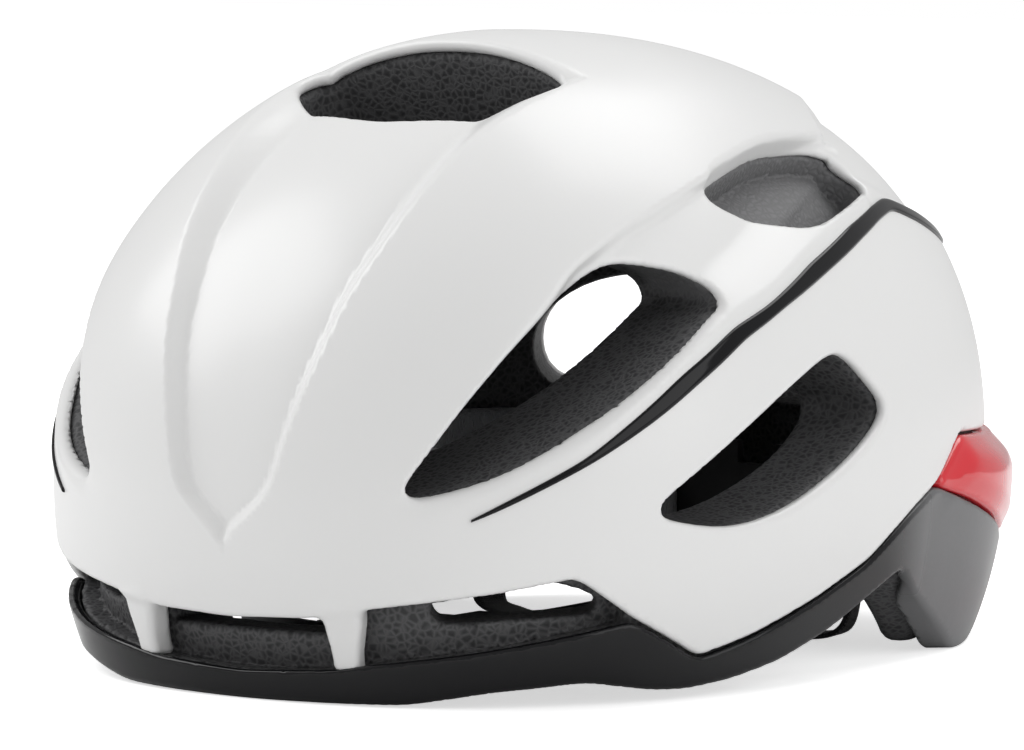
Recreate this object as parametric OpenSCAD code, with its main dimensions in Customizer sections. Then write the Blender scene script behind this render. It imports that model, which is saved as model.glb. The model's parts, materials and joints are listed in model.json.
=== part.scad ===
// Road cycling helmet, standing on its rim.
// +Z up, the nose points to -Y, the wearer's left is +X, the table is z = 0.
// Angles round the helmet are counted from the nose: 0 front, 90 left, 180 rear.

/* [Shell] */
// Width over the widest point of the shell
helmet_w = 206; // [180:1:230]
// Length of the shell in front of its widest point
nose_l = 124; // [105:1:140]
// Length of the shell behind its widest point
tail_l = 161.6; // [140:1:185]
// Height of the dome over the widest level
dome_h = 112.5; // [95:1:130]
// Height of the widest level over the table
waist_z = 51.1; // [48:0.5:58]
// Wall of the white outer shell
shell_wall = 1.2; // [0.8:0.1:2]
// Wall of the black lower shell
lower_wall = 2.2; // [1.5:0.1:3]
// Gap between a shell and the foam
skin_gap = 0.6; // [0.4:0.1:0.9]
// How far the rear insert and the hooks stand out of the shell
flare = 6; // [0:0.5:8]

/* [Head cavity] */
// Inside width of the foam
cavity_w = 156; // [146:1:164]
// Inside length of the foam
cavity_l = 207; // [195:1:215]
// Height of the inside of the crown
cavity_top = 134; // [122:1:138]
// Wall of the foam at its bottom edge
rim_wall = 12; // [9:0.5:16]

/* [Dial] */
// Height of the dial's axis
dial_z = 28; // [26:0.5:32]
// Diameter of the knob
knob_d = 28; // [22:1:32]
// Pitch radius of the pinion
pinion_r = 5; // [4:0.25:6]
// Diameter of the pinion's shaft
shaft_d = 6; // [4:0.25:6.5]
// Running clearance of the shaft, on the radius
run_gap = 0.06; // [0.03:0.01:0.1]
// Radius of the circle that the rear bands lie on
ring_r = 70; // [66:0.5:71]
// Height of the rear bands
band_h = 16; // [16:0.5:22]
// Thickness of the bands
band_t = 1.6; // [1:0.1:2]

/* [Straps] */
// Width of the webbing
web_w = 12; // [9:0.5:14]
// Thickness of the webbing
web_t = 1.6; // [1:0.1:2]

/* [Pads] */
// Thickness of the comfort pads
pad_t = 6; // [4:0.5:8]

/* [Hidden] */
$fn = 48;

half_w = helmet_w / 2;
mid_y = (nose_l - tail_l) / 2;
top_z = waist_z + dome_h;
skirt_h = 113;
plan_n = 2.33;
nose_n = 1.94;
tail_n = 2.24;
skirt_n = 2.2;
az_step = 5;
azimuths = [0 : az_step : 360 - az_step];

// Heights over the table of the edges, against the angle from the nose
EDGE = [[0, 21], [11, 22], [19, 25], [33, 29], [43, 32.7], [51, 22], [62, 11], [72, 15], [88, 23],
    [100, 30], [112, 41], [120, 47], [128, 58.5], [140, 57], [180, 56]];
RIM_TOP = [[0, 7.5], [13, 9], [18, 10.7], [30, 14], [41, 17.7], [51, 21.5]];
RIM_LOW = [[0, 0], [22, 0.5], [33, 4], [45, 6], [55, 3], [61, 2.5], [70, 4], [80, 7], [92, 13],
    [102, 20], [111, 26], [116, 19.5], [122, 13], [128, 5], [132, 0], [140, 0], [147, 9], [155, 22],
    [165, 31], [180, 34]];
INSERT_LOW = [[119, 46.5], [128, 41], [144, 28], [155, 34], [165, 41], [180, 44]];
STRIPE_TOP = [[30, 47], [34, 51.5], [44, 62], [49, 69], [58, 81], [69, 92], [78, 97], [92, 106],
    [108, 114], [120, 118.5], [127, 120.4], [137, 115.5], [147, 109]];
STRIPE_LOW = [[30, 46.4], [34, 50], [45, 61], [54, 71], [61, 79], [71, 89], [82, 96], [97, 104],
    [111, 111], [120, 115], [127, 117], [135, 113], [147, 105.5]];
seam = 0.8;
insert_start = 120;
slot_half = 50;

function fold(a) = a > 180 ? 360 - a : abs(a);
function step01(t) = let(u = min(1, max(0, t))) u * u * (3 - 2 * u);
function edge_z(a) = lookup(fold(a), EDGE);
function rim_low_z(a) = lookup(fold(a), RIM_LOW);
function insert_low_z(a) = lookup(fold(a), INSERT_LOW);
function rim_top_z(a) = let(f = fold(a))
    f < 51 ? lookup(f, RIM_TOP) : f < insert_start ? edge_z(f) - seam : insert_low_z(f) - seam;
function flare_at(a) = flare * step01((fold(a) - 117) / 20) * step01((179 - fold(a)) / 28);

// Horizontal radius of the rounded form at an angle and a height, set in by a distance
function plan_r(a, inset) = let(w = half_w - inset, l = (cos(a) > 0 ? nose_l : tail_l) - inset)
    pow(pow(abs(sin(a)) / w, plan_n) + pow(abs(cos(a)) / l, plan_n), -1 / plan_n);
function side_n(a) = let(t = 1 / (1 + exp(4 * cos(a)))) nose_n * (1 - t) + tail_n * t;
function skin_r(a, z, inset) = let(up = z > waist_z, n = up ? side_n(a) : skirt_n,
    h = up ? dome_h - inset : skirt_h, q = 1 - pow(abs(z - waist_z) / h, n))
    plan_r(a, inset) * pow(max(0.00001, q), 1 / n);
function skin(a, z, inset) = let(r = skin_r(a, z, inset)) [r * sin(a), mid_y - r * cos(a), z];
// Point of the rounded form behind the waist, at a place across and a height
function rear_skin(x, z) = let(q = pow(1 - pow(abs(z - waist_z) / dome_h, tail_n), 1 / tail_n))
    [x, mid_y + tail_l * pow(pow(q, plan_n) - pow(abs(x) / half_w, plan_n), 1 / plan_n), z];

// The head cavity, which widens towards the rim
cavity_y = -3;
cavity_mid = 40;
cavity_n = 2.1;
function cavity_plan(a) = pow(pow(abs(sin(a)) / (cavity_w / 2), cavity_n)
    + pow(abs(cos(a)) / (cavity_l / 2), cavity_n), -1 / cavity_n);
function cavity(a, z) = let(h = cavity_top - cavity_mid,
    q = z > cavity_mid ? pow(max(0.00001, 1 - pow((z - cavity_mid) / h, cavity_n)), 1 / cavity_n) : 1,
    r = cavity_plan(a) * q, p = [r * sin(a), cavity_y - r * cos(a), z],
    low = skin(a, z, rim_wall), u = pow(max(0, cavity_mid - z) / cavity_mid, 1.5))
    p * (1 - u) + low * u;

// Direction square to the cavity wall, pointing into the cavity
function cavity_in(a, z) = let(v = cross(cavity(a, z + 1) - cavity(a, z - 1),
    cavity(a + 1, z) - cavity(a - 1, z)), c = [0, cavity_y, cavity_mid] - cavity(a, z))
    v * (v * c > 0 ? 1 : -1) / norm(v);

// Solid through a list of rings that all have as many points
module loft(rings, closed = false) {
    n = len(rings[0]);
    m = len(rings);
    spans = closed ? m : m - 1;
    sides = [for (i = [0 : spans - 1], j = [0 : n - 1])
        let(a = i * n + j, b = i * n + (j + 1) % n, c = ((i + 1) % m) * n + (j + 1) % n,
            d = ((i + 1) % m) * n + j)
        each [[a, b, c], [a, c, d]]];
    ends = closed ? [] : [[for (j = [n - 1 : -1 : 0]) j], [for (j = [0 : n - 1]) (m - 1) * n + j]];
    polyhedron(points = [for (r = rings) each r], faces = concat(sides, ends), convexity = 10);
}

// A row of a dome: u is 0 at the crown and 1 at the bottom edge
dome_rows = 14;
first_row = 0.03;
function row_u(i) = first_row + (1 - first_row) * i / dome_rows;
function row_z(u, top, low) = top - (top - low) * pow(u, 1.6);

// Sections of a band that runs round the skin between two heights
function band_ring(a, lo, hi, outer, inner, rows = 3) = concat(
    [for (i = [0 : rows]) skin(a, lo + (hi - lo) * i / rows, outer)],
    [for (i = [rows : -1 : 0]) skin(a, lo + (hi - lo) * i / rows, inner)]);

// Cutter for a vent: a chain of hulls through pairs of edge points, drawn along a direction
module vent(pairs, draw, out, deep, r = 2) {
    for (i = [0 : len(pairs) - 2])
        hull()
            for (p = [each pairs[i], each pairs[i + 1]], s = [-out, deep])
                translate(p + draw * s) sphere(r, $fn = 8);
}

// Edge points of the left vents, low edge first
SIDE_VENT = [
    [[52, -131, 54], [52, -131, 56]],
    [[63, -123, 57.5], [60, -124.5, 69]],
    [[72, -115, 62.5], [64, -117, 79]],
    [[79, -105, 69], [70, -105, 90.5]],
    [[85, -93, 76.5], [74, -92, 100.5]],
    [[89, -77, 86.5], [77, -80, 106.3]],
    [[90, -62, 95.5], [82, -70, 105.2]],
    [[89.5, -54.5, 99.2], [86, -60, 103]]];
SIDE_DRAW = [-0.94, 0.34, 0];
EAR_VENT = [
    [[94, -82, 48], [94, -82, 49.5]],
    [[98, -67, 45.2], [97, -71, 56.5]],
    [[100, -55, 45.5], [99, -54, 66]],
    [[102, -40, 48.5], [100, -36, 74.5]],
    [[103, -25, 53.5], [100, -17, 81.5]],
    [[103, -12, 58.5], [100, -10, 80.5]],
    [[102, 0, 64.5], [101, -1, 73.5]],
    [[101.6, 4.5, 68], [101.6, 4, 69.5]]];
EAR_DRAW = [-1, 0, 0];
SHOULDER_VENT = [
    [[77, -33, 126.8], [75, -33, 129]],
    [[83, -18, 120.5], [73, -18, 132]],
    [[86, -6, 116.5], [71, -5, 134]],
    [[84, 12, 121], [70, 12, 135.2]],
    [[79, 30, 124.5], [70, 28, 133.6]],
    [[77, 34.5, 126], [73, 34.5, 129]]];
SHOULDER_DRAW = [-0.55, 0.1, -0.83];
shoulder_deep = 12;
CROWN_HALF = [[40, -60, 148.5, -52, 150.5], [32, -74, 145, -46, 154.5], [21, -82, 144, -43, 158],
    [9, -86, 144, -41.5, 160.5]];
CROWN_VENT = concat([for (i = [0 : 3]) let(p = CROWN_HALF[i]) [[-p[0], p[1], p[2]], [-p[0], p[3], p[4]]]],
    [for (i = [3 : -1 : 0]) let(p = CROWN_HALF[i]) [[p[0], p[1], p[2]], [p[0], p[3], p[4]]]]);
CROWN_DRAW = [0, 0.35, -0.94];
EXHAUST_X = [26, 36, 48, 60, 69];
EXHAUST_LOW = [63, 61.5, 61.5, 62, 65];
EXHAUST_TOP = [84, 91, 92, 88, 78];
EXHAUST_VENT = [for (i = [0 : 4])
    [rear_skin(EXHAUST_X[i], EXHAUST_LOW[i]), rear_skin(EXHAUST_X[i], EXHAUST_TOP[i])]];
EXHAUST_DRAW = [-0.5, -0.866, 0];
TAIL_VENT = [for (x = [-20, -8, 8, 20]) [rear_skin(x, 108), rear_skin(x, 120 - abs(x) / 4)]];
TAIL_DRAW = [0, -0.97, -0.24];
vent_out = 14;
vent_deep = 62;

module both_sides() {
    children();
    mirror([1, 0, 0]) children();
}

module vents(shoulder) {
    both_sides() {
        vent(SIDE_VENT, SIDE_DRAW, vent_out, vent_deep);
        vent(EAR_VENT, EAR_DRAW, vent_out, vent_deep * 0.7);
        vent(SHOULDER_VENT, SHOULDER_DRAW, vent_out, shoulder);
        vent(EXHAUST_VENT, EXHAUST_DRAW, vent_out, vent_deep);
    }
    vent(CROWN_VENT, CROWN_DRAW, vent_out, vent_deep * 0.8);
    vent(TAIL_VENT, TAIL_DRAW, vent_out, vent_deep);
}

// Struts that carry the shell's brow on the lower shell
strut_w = 10;
strut_d = 7;

module strut() {
    hull() {
        translate(skin(15, 24, strut_d / 2 + 0.5)) cube([strut_w, strut_d, 1], center = true);
        translate(skin(15, rim_top_z(15) + 0.8, strut_d / 2 + 0.5))
            cube([strut_w - 3, strut_d, 1], center = true);
    }
}

module outer_shell() {
    function ring(u, inset) = [for (a = azimuths) skin(a, row_z(u, top_z - inset, edge_z(a)), inset)];
    color("#f2f2f0") {
        difference() {
            loft(concat([for (i = [0 : dome_rows]) ring(row_u(i), 0)],
                [for (i = [dome_rows : -1 : 0]) ring(row_u(i), shell_wall)]));
            vents(shell_wall + 3);
        }
        both_sides() strut();
    }
}

module lower_shell() {
    color("#1c1c1e")
        difference() {
            loft([for (a = azimuths) band_ring(a, rim_low_z(a), rim_top_z(a), -flare_at(a),
                lower_wall - flare_at(a))], closed = true);
            both_sides() anchor_pockets();
        }
}

module rear_insert() {
    steps = [for (a = [insert_start + 1 : az_step - 1 : 240]) a];
    color("#e3262b")
        loft([for (a = steps) band_ring(a, insert_low_z(a), edge_z(a) - seam, -flare_at(a) - 0.2,
            lower_wall - flare_at(a) * 0.4, 2)]);
}

// Foam: the outer form less the shells, the head cavity and the vents
foam_lift = 2;
brow_recess = 9;

module foam_body() {
    out = shell_wall + skin_gap;
    function low(a) = rim_low_z(a) + foam_lift;
    function outer(a, z) = let(below = z < edge_z(a) + 1)
        skin(a, z, below ? lower_wall + skin_gap + 0.2 : out);
    function ring(u) = [for (a = azimuths) outer(a, row_z(u, top_z - out, low(a)))];
    function inside(u) = [for (a = azimuths) cavity(a, row_z(u, cavity_top, low(a)))];
    loft(concat([for (i = [0 : dome_rows]) ring(row_u(i))],
        [for (i = [dome_rows : -1 : 0]) inside(row_u(i))]));
}

// Recess behind the brow slot, and the windows that go through from it
BROW_WINDOW = [
    [[54, -127, 22], [54, -127, 26.5]],
    [[65, -119, 23], [65, -119, 28.5]],
    [[74, -110, 23.5], [74, -110, 30]],
    [[81, -100, 24], [81, -100, 26.5]]];
BROW_DRAW = [-0.56, 0.83, 0];
brow_sill = 19;
brow_roof = 27;
brow_half = 24;

module brow_cuts() {
    loft([for (a = [-slot_half : az_step : slot_half])
        band_ring(a, rim_top_z(a) - 0.3, edge_z(a) + 3, -8, brow_recess, 2)]);
    translate([-brow_half, -150, brow_sill]) cube([2 * brow_half, 75, brow_roof - brow_sill]);
    both_sides() vent(BROW_WINDOW, BROW_DRAW, vent_out, vent_deep, 1.5);
}

module foam_liner() {
    color("#2e2f31")
        difference() {
            foam_body();
            vents(shoulder_deep);
            brow_cuts();
            both_sides() {
                anchor_pockets();
                temple_pocket();
            }
            track_pockets();
        }
}

// Glossy trim along the flank
stripe_out = 0.7;
stripe_gap = 0.1;

module stripe() {
    color("#0c0c0d")
        loft([for (a = [30 : 3 : 147])
            let(lo = lookup(a, STRIPE_LOW), hi = max(lo + 0.6, lookup(a, STRIPE_TOP)))
            band_ring(a, lo, hi, -stripe_out, -stripe_gap, 1)]);
}

module left_stripe() {
    stripe();
}

module right_stripe() {
    mirror([1, 0, 0]) stripe();
}

// Comfort pads, held by hook-and-loop dots a little inside the foam
pad_gap = 2.2;
dot_t = 0.9;
dot_r = 5;
dot_seat = 0.7;

// Cushion on the cavity wall between two angles and two heights
module wall_pad(a0, a1, z0, z1, t) {
    steps = 8;
    z = (z0 + z1) / 2;
    function at(a, z, d) = cavity(a, z) + cavity_in(a, z) * d;
    loft([for (i = [0 : steps]) let(a = a0 + (a1 - a0) * i / steps, e = i == 0 || i == steps ? 0.75 : 1,
        h = (z1 - z0) / 2 * e)
        [at(a, z - h, pad_gap), at(a, z, pad_gap), at(a, z + h, pad_gap),
            at(a, z + h * 0.85, t * e + pad_gap), at(a, z, t * e + pad_gap),
            at(a, z - h * 0.85, t * e + pad_gap)]]);
}

module brow_pad() {
    color("#c9cbcd") wall_pad(-42, 42, 35, 62, pad_t);
}

module crown_pad() {
    color("#c9cbcd") wall_pad(138, 222, 111, 127, pad_t);
}

module left_side_pad() {
    color("#c9cbcd") wall_pad(98, 128, 78, 100, pad_t);
}

module right_side_pad() {
    color("#c9cbcd") wall_pad(-128, -98, 78, 100, pad_t);
}

module left_rear_pad() {
    color("#c9cbcd") wall_pad(112, 150, 43, 57, pad_t);
}

module right_rear_pad() {
    color("#c9cbcd") wall_pad(-150, -112, 43, 57, pad_t);
}

// Dot between a pad and the wall
module wall_dot(a, z) {
    v = cavity_in(a, z);
    translate(cavity(a, z) + v * dot_seat)
        rotate([0, acos(v[2]), atan2(v[1], v[0])]) cylinder(dot_t, r = dot_r);
}

module pad_fasteners() {
    color("#161617") {
        for (a = [-28, 0, 28]) wall_dot(a, 48);
        for (a = [-113, 113]) wall_dot(a, 89);
        for (a = [-131, 131]) wall_dot(a, 50);
        for (a = [160, 200]) wall_dot(a, 119);
    }
}

// Retention ring: arcs about an upright axis, the angle counted from the rear centre
ring_y = 16;
ring_z = dial_z - band_h / 2;

module arc_bar(r0, r1, z0, z1, a0, a1) {
    translate([0, ring_y, 0])
        rotate([0, 0, 90 - a1])
            rotate_extrude(angle = a1 - a0, $fn = 96)
                translate([r0, z0]) square([r1 - r0, z1 - z0]);
}

// Front half of the ring, a strip that ends in arcs beside the rear bands
front_r = ring_r + band_t + 1.2;
front_reach = 96;
front_h = 12;
front_tilt = 9;
front_mid = ring_z + 1 + front_h / 2;
function front_path(d) = [for (b = [-14 : 2 : 194])
    b < 0 || b > 180 ? [(front_r + d) * cos(b), ring_y - (front_r + d) * sin(b)]
    : [(front_r + d) * cos(b), ring_y - (ring_y + front_reach + d) * sin(b)]];

// The front of the ring dips below the brow windows
module tilted() {
    translate([0, ring_y, front_mid]) rotate([front_tilt, 0, 0]) translate([0, -ring_y, 0]) children();
}

module front_band() {
    inner = front_path(-band_t / 2);
    color("#202123")
        tilted()
            translate([0, 0, -front_h / 2]) linear_extrude(front_h)
                polygon(concat(front_path(band_t / 2), [for (i = [len(inner) - 1 : -1 : 0]) inner[i]]));
}

// Push pins that hold the front band to the foam at the temples
pin_r = 2.5;
pin_y = -22;
pin_z = front_mid + (pin_y - ring_y) * sin(front_tilt);
module temple_pin() {
    x = front_r * sqrt(1 - pow((pin_y - ring_y) / (ring_y + front_reach), 2)) + band_t / 2 + 0.9;
    translate([x, pin_y, pin_z]) rotate([0, 90, 0]) {
        cylinder(11, r = pin_r);
        cylinder(1.2, r = pin_r + 2);
    }
}

module temple_pocket() {
    translate([cavity_w / 2 - 6, pin_y, pin_z]) rotate([0, 90, 0]) cylinder(15, r = pin_r + 0.3);
}

module front_band_pins() {
    color("#161617") both_sides() temple_pin();
}

// Height adjuster: a hanger slides in a track on the rear of the foam
track_y = ring_y + ring_r - 3;
track_z0 = 57;
track_z1 = 83;
hanger_t = 1.6;
hanger_w = 14;
slide_gap = 0.3;
lip = 2.4;
track_pin_l = 19;

module height_track() {
    color("#202123")
        difference() {
            translate([-hanger_w / 2 - lip - 1, track_y - hanger_t - slide_gap - lip / 2, track_z0])
                cube([hanger_w + 2 * lip + 2, hanger_t + 2 * slide_gap + lip / 2 + 2.4,
                    track_z1 - track_z0]);
            translate([-hanger_w / 2 - slide_gap, track_y - hanger_t - slide_gap, track_z0 - 1])
                cube([hanger_w + 2 * slide_gap, hanger_t + 2 * slide_gap, track_z1 - track_z0 + 2]);
            translate([-hanger_w / 2 + lip / 2, track_y - 10, track_z0 - 1])
                cube([hanger_w - lip, 10, track_z1 - track_z0 + 2]);
        }
}

module track_pin_row(r, l) {
    for (x = [-8, 8])
        translate([x, track_y + slide_gap + 2.5, track_z0 + 9]) rotate([-90, 0, 0]) cylinder(l, r = r);
}

module track_pins() {
    color("#161617") track_pin_row(pin_r, track_pin_l);
}

module track_pockets() {
    track_pin_row(pin_r + slide_gap, track_pin_l + slide_gap);
    translate([-hanger_w / 2 - lip - 2, track_y - 8, track_z0 - 1.5])
        cube([hanger_w + 2 * lip + 4, 11, track_z1 - track_z0 + 3]);
}

// Cradle that holds the back of the head, with the two halves of the gearbox
cradle_r = ring_r - 5;
cradle_t = 2.2;
cradle_z0 = dial_z - 13;
cradle_z1 = dial_z + 22;
cradle_half = 34;
house_half = 18;
house_h = 2 * (pinion_r + 7.5);
house_z0 = dial_z - house_h / 2 - 1.5;
house_z1 = dial_z + house_h / 2 + 1.5;
wall_in = ring_r - band_t / 2 - 0.6;
wall_out = ring_r + band_t / 2 + 0.5;
wall_t = 2.2;
hanger_z1 = 87;

module hanger() {
    color("#202123")
        difference() {
            translate([-hanger_w / 2, track_y - hanger_t, cradle_z1 - 6])
                cube([hanger_w, hanger_t, hanger_z1 - cradle_z1 + 6]);
            for (z = [cradle_z1 + 6 : 6 : hanger_z1 - 5])
                translate([0, track_y - hanger_t - 1, z]) rotate([-90, 0, 0]) cylinder(4, r = 2);
        }
}

module cradle() {
    color("#202123")
        difference() {
            union() {
                arc_bar(cradle_r, cradle_r + cradle_t, cradle_z0, cradle_z1, -cradle_half, cradle_half);
                arc_bar(cradle_r + cradle_t / 2, wall_in, house_z0, house_z1, -house_half, house_half);
            }
            for (s = [-1, 1])
                arc_bar(cradle_r - 1, cradle_r + cradle_t + 1, cradle_z1 - 6, cradle_z1 + 1, s * 17 - 7, s * 17 + 7);
            translate([0, ring_y + cradle_r - 2, dial_z]) rotate([-90, 0, 0])
                cylinder(8, r = shaft_d / 3 + run_gap);
            translate([-hanger_w / 2 - 0.2, track_y - hanger_t - 0.2, cradle_z1 - 6.2])
                cube([hanger_w + 0.4, hanger_t + 6, 12]);
            screw_holes(1.1);
        }
}

// Two pads stuck on the front of the cradle
module cradle_pads() {
    color("#c9cbcd")
        for (s = [-1, 1])
            arc_bar(cradle_r - 4, cradle_r - 0.3, cradle_z0 + 2, cradle_z1 - 14, s * 19 - 12, s * 19 + 12);
}

module screw_holes(r) {
    for (s = [-1, 1], z = [-1, 1])
        translate([0, ring_y, dial_z + z * (house_h / 2 - 1.2)])
            rotate([0, 0, s * (house_half - 4)]) rotate([-90, 0, 0]) cylinder(ring_r + 8, r = r);
}

module dial_housing() {
    color("#202123")
        difference() {
            union() {
                arc_bar(wall_out, wall_out + wall_t, house_z0, house_z1, -house_half, house_half);
                for (z = [house_z0, house_z1 - 2.4])
                    arc_bar(wall_in + slide_gap, wall_out + 1, z, z + 2.4, -house_half, house_half);
                translate([0, ring_y + wall_out, dial_z]) rotate([-90, 0, 0]) cylinder(wall_t + 0.6, r = 7);
            }
            translate([0, ring_y + ring_r - 4, dial_z]) rotate([-90, 0, 0])
                cylinder(12, r = shaft_d / 2 + run_gap);
            screw_holes(1.1);
        }
}

module housing_screws() {
    color("#8c8f93")
        for (s = [-1, 1], z = [-1, 1])
            translate([0, ring_y, dial_z + z * (house_h / 2 - 1.2)])
                rotate([0, 0, s * (house_half - 4)]) rotate([-90, 0, 0]) {
                    translate([0, 0, cradle_r + 1]) cylinder(wall_out + wall_t - cradle_r - 1, r = 1.05);
                    translate([0, 0, wall_out + wall_t + 0.05]) cylinder(1.2, r = 2.1);
                }
}

// Bands with a rack each: the left one over the pinion, the right one under it
teeth = 12;
tooth_pitch = 2 * PI * pinion_r / teeth;
tooth_play = 0.35;
tooth_t = band_t - 0.3;
addendum = 0.5;
dedendum = 0.8;
rack_gap = dedendum;
tooth_half = tooth_pitch / 4 - tooth_play / 2;
flank = tan(20);
rack_a0 = 15;
rack_h = 4;
band_end = 92;
band_travel = 9;

// Rack teeth along the band, pointing down for the left band
module rack(up) {
    deg = tooth_pitch / ring_r * 180 / PI;
    span = band_travel + 5;
    z = dial_z + up * (pinion_r + rack_gap);
    for (k = [-floor(span / deg) : floor(span / deg)])
        translate([0, ring_y, z]) rotate([0, 0, k * deg])
            translate([0, ring_r - tooth_t / 2, 0])
                rotate([-90, 0, 0]) linear_extrude(tooth_t)
                    polygon([for (q = [[-1, -1], [-1, 0], [-1, 1], [1, 1], [1, 0], [1, -1]])
                        let(rise = q[1] < 0 ? -1.5 : q[1] > 0 ? addendum + dedendum : 0,
                            half = q[1] > 0 ? tooth_half - addendum * flank : tooth_half + dedendum * flank)
                        [q[0] * half, up * rise]]);
}

module rear_band(up) {
    edge = pinion_r + rack_gap;
    z0 = up > 0 ? ring_z : dial_z - edge - rack_h;
    z1 = up > 0 ? dial_z + edge + rack_h : ring_z + band_h;
    cut0 = up > 0 ? z0 - 1 : dial_z - edge;
    cut1 = up > 0 ? dial_z + edge : z1 + 1;
    color("#2a2b2e") {
        difference() {
            arc_bar(ring_r - band_t / 2, ring_r + band_t / 2, z0, z1, -rack_a0, band_end);
            arc_bar(ring_r - band_t, ring_r + band_t, cut0, cut1, -rack_a0 - 2, rack_a0 + 2 * band_travel + 2);
        }
        rack(up);
    }
}

module left_band() {
    rear_band(1);
}

module right_band() {
    mirror([1, 0, 0]) rear_band(-1);
}

// Dial: pinion with its shaft, the knob, a click spring and the centre screw
knob_y = ring_y + wall_out + wall_t + 1.6;
knob_t = 7.5;

module dial_pinion() {
    root = pinion_r - dedendum - 0.1;
    foot = tooth_half + dedendum * flank * 0.8;
    tip = tooth_half - addendum * flank * 1.1;
    gear_t = band_t + 0.3;
    color("#d8d9da")
        translate([0, ring_y + ring_r, dial_z]) rotate([-90, 0, 0]) difference() {
            union() {
                translate([0, 0, -band_t / 2 - 0.3]) cylinder(gear_t, r = root);
                for (k = [0 : teeth - 1])
                    rotate([0, 0, (k + 0.5) * 360 / teeth + 90])
                        translate([0, 0, -band_t / 2 - 0.3])
                            linear_extrude(gear_t)
                                polygon([[root - 0.4, -foot], [pinion_r + addendum, -tip],
                                    [pinion_r + addendum, tip], [root - 0.4, foot]]);
                translate([0, 0, -4.2]) cylinder(4, r = shaft_d / 3);
                cylinder(knob_y - ring_y - ring_r + 3, r = shaft_d / 2);
            }
            translate([0, 0, 1.5]) cylinder(12, r = 1.25);
        }
}

module dial_knob() {
    color("#26272a")
        translate([0, knob_y, dial_z]) rotate([-90, 0, 0]) difference() {
            cylinder(knob_t, r = knob_d / 2);
            for (k = [0 : 14]) rotate([0, 0, k * 24])
                translate([knob_d / 2 + 1.3, 0, -1]) cylinder(knob_t + 2, r = 2.2);
            translate([0, 0, -1]) cylinder(4.05, r = shaft_d / 2 + 0.02);
            translate([0, 0, -1]) cylinder(knob_t + 2, r = 1.6);
            translate([0, 0, knob_t - 2.4]) cylinder(3, r = 3.6);
        }
}

module click_spring() {
    color("#b9bcc0")
        translate([0, knob_y - 0.9, dial_z]) rotate([-90, 0, 0]) difference() {
            union() {
                cylinder(0.6, r = 5.4);
                for (k = [0 : 2]) rotate([0, 0, k * 120]) translate([4, -1.2, 0]) cube([6, 2.4, 0.6]);
            }
            translate([0, 0, -1]) cylinder(3, r = shaft_d / 2 + 0.1);
        }
}

module dial_screw() {
    color("#8c8f93")
        translate([0, knob_y + knob_t - 2.3, dial_z]) rotate([-90, 0, 0]) {
            cylinder(1.8, r = 3.2);
            translate([0, 0, -6.5]) cylinder(6.5, r = 1.2);
        }
}

// Webbing: a flat ribbon through hand-chosen points, each with its sideways direction
function blend4(a, b, c, d, t) = 0.5 * (2 * b + (c - a) * t + (2 * a - 5 * b + 4 * c - d) * t * t
    + (3 * b - a - 3 * c + d) * t * t * t);
function through(p, t) = let(n = len(p) - 1, i = min(n - 1, floor(t)), u = t - i)
    blend4(p[max(0, i - 1)], p[i], p[i + 1], p[min(n, i + 2)], u);
function unit(v) = v / norm(v);

module ribbon(pts, sides, w, t) {
    steps = 5;
    n = (len(pts) - 1) * steps;
    function at(i) = through(pts, i / steps);
    function along(i) = unit(at(min(n, i + 0.5)) - at(max(0, i - 0.5)));
    loft([for (i = [0 : n])
        let(p = at(i), s = unit(through(sides, i / steps)), up = unit(cross(s, along(i))))
        [p + s * w / 2 + up * t / 2, p - s * w / 2 + up * t / 2, p - s * w / 2 - up * t / 2,
            p + s * w / 2 - up * t / 2]]);
}

lie = web_t / 2 + 0.4;
divider_x = 50;
divider_y = -4;
divider_w = 20;
divider_t = 4.4;
divider_z = 0.5;
front_anchor = [74, -46, 15];
rear_anchor = [63, 67, 26];
FRONT_WEB = [front_anchor, [71, -46.5, 8], [64, -50, 2.6], [52, -55, lie], [42, -52, lie],
    [38, -42, lie], [41, -31, lie], [46, -22, lie], [49, -15.5, lie]];
FRONT_SIDE = [[0, 1, 0], [0.1, 1, 0], [0.2, 1, 0], [0.3, 1, 0], [-0.5, 1, 0], [-1, 0.1, 0],
    [-1, -0.4, 0], [-1, -0.4, 0], [-1, -0.3, 0]];
REAR_WEB = [rear_anchor - [1.6, 1.2, 0], [59.5, 64, 14], [57, 61, 3.5], [48, 57, lie], [34, 46, lie], [31, 36, lie],
    [35, 26, lie], [42, 16, lie], [46, 8, lie]];
REAR_SIDE = [[0.5, -1, 0], [0.4, -1, 0], [0.2, -1, 0], [0.2, -1, 0], [0.6, -0.6, 0], [1, 0, 0],
    [1, 0.4, 0], [1, 0.6, 0], [1, 0.4, 0]];

module front_strap() {
    color("#141415") ribbon(FRONT_WEB, FRONT_SIDE, web_w, web_t);
}

module rear_strap() {
    color("#141415") ribbon(REAR_WEB, REAR_SIDE, web_w, web_t);
}

module left_front_strap() {
    front_strap();
}

module left_rear_strap() {
    rear_strap();
}

module right_front_strap() {
    mirror([1, 0, 0]) front_strap();
}

module right_rear_strap() {
    mirror([1, 0, 0]) rear_strap();
}

// Anchors that hold the webbing in the foam
anchor_gap = 0.3;
module anchor(p, turn) {
    translate(p) rotate([0, 0, turn]) translate([0, -web_w / 2 - 1, 0.5]) cube([5, web_w + 2, 5]);
}

module anchors() {
    anchor(front_anchor, 0);
    anchor(rear_anchor, 42);
}

module strap_anchors() {
    color("#161617") both_sides() anchors();
}

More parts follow.
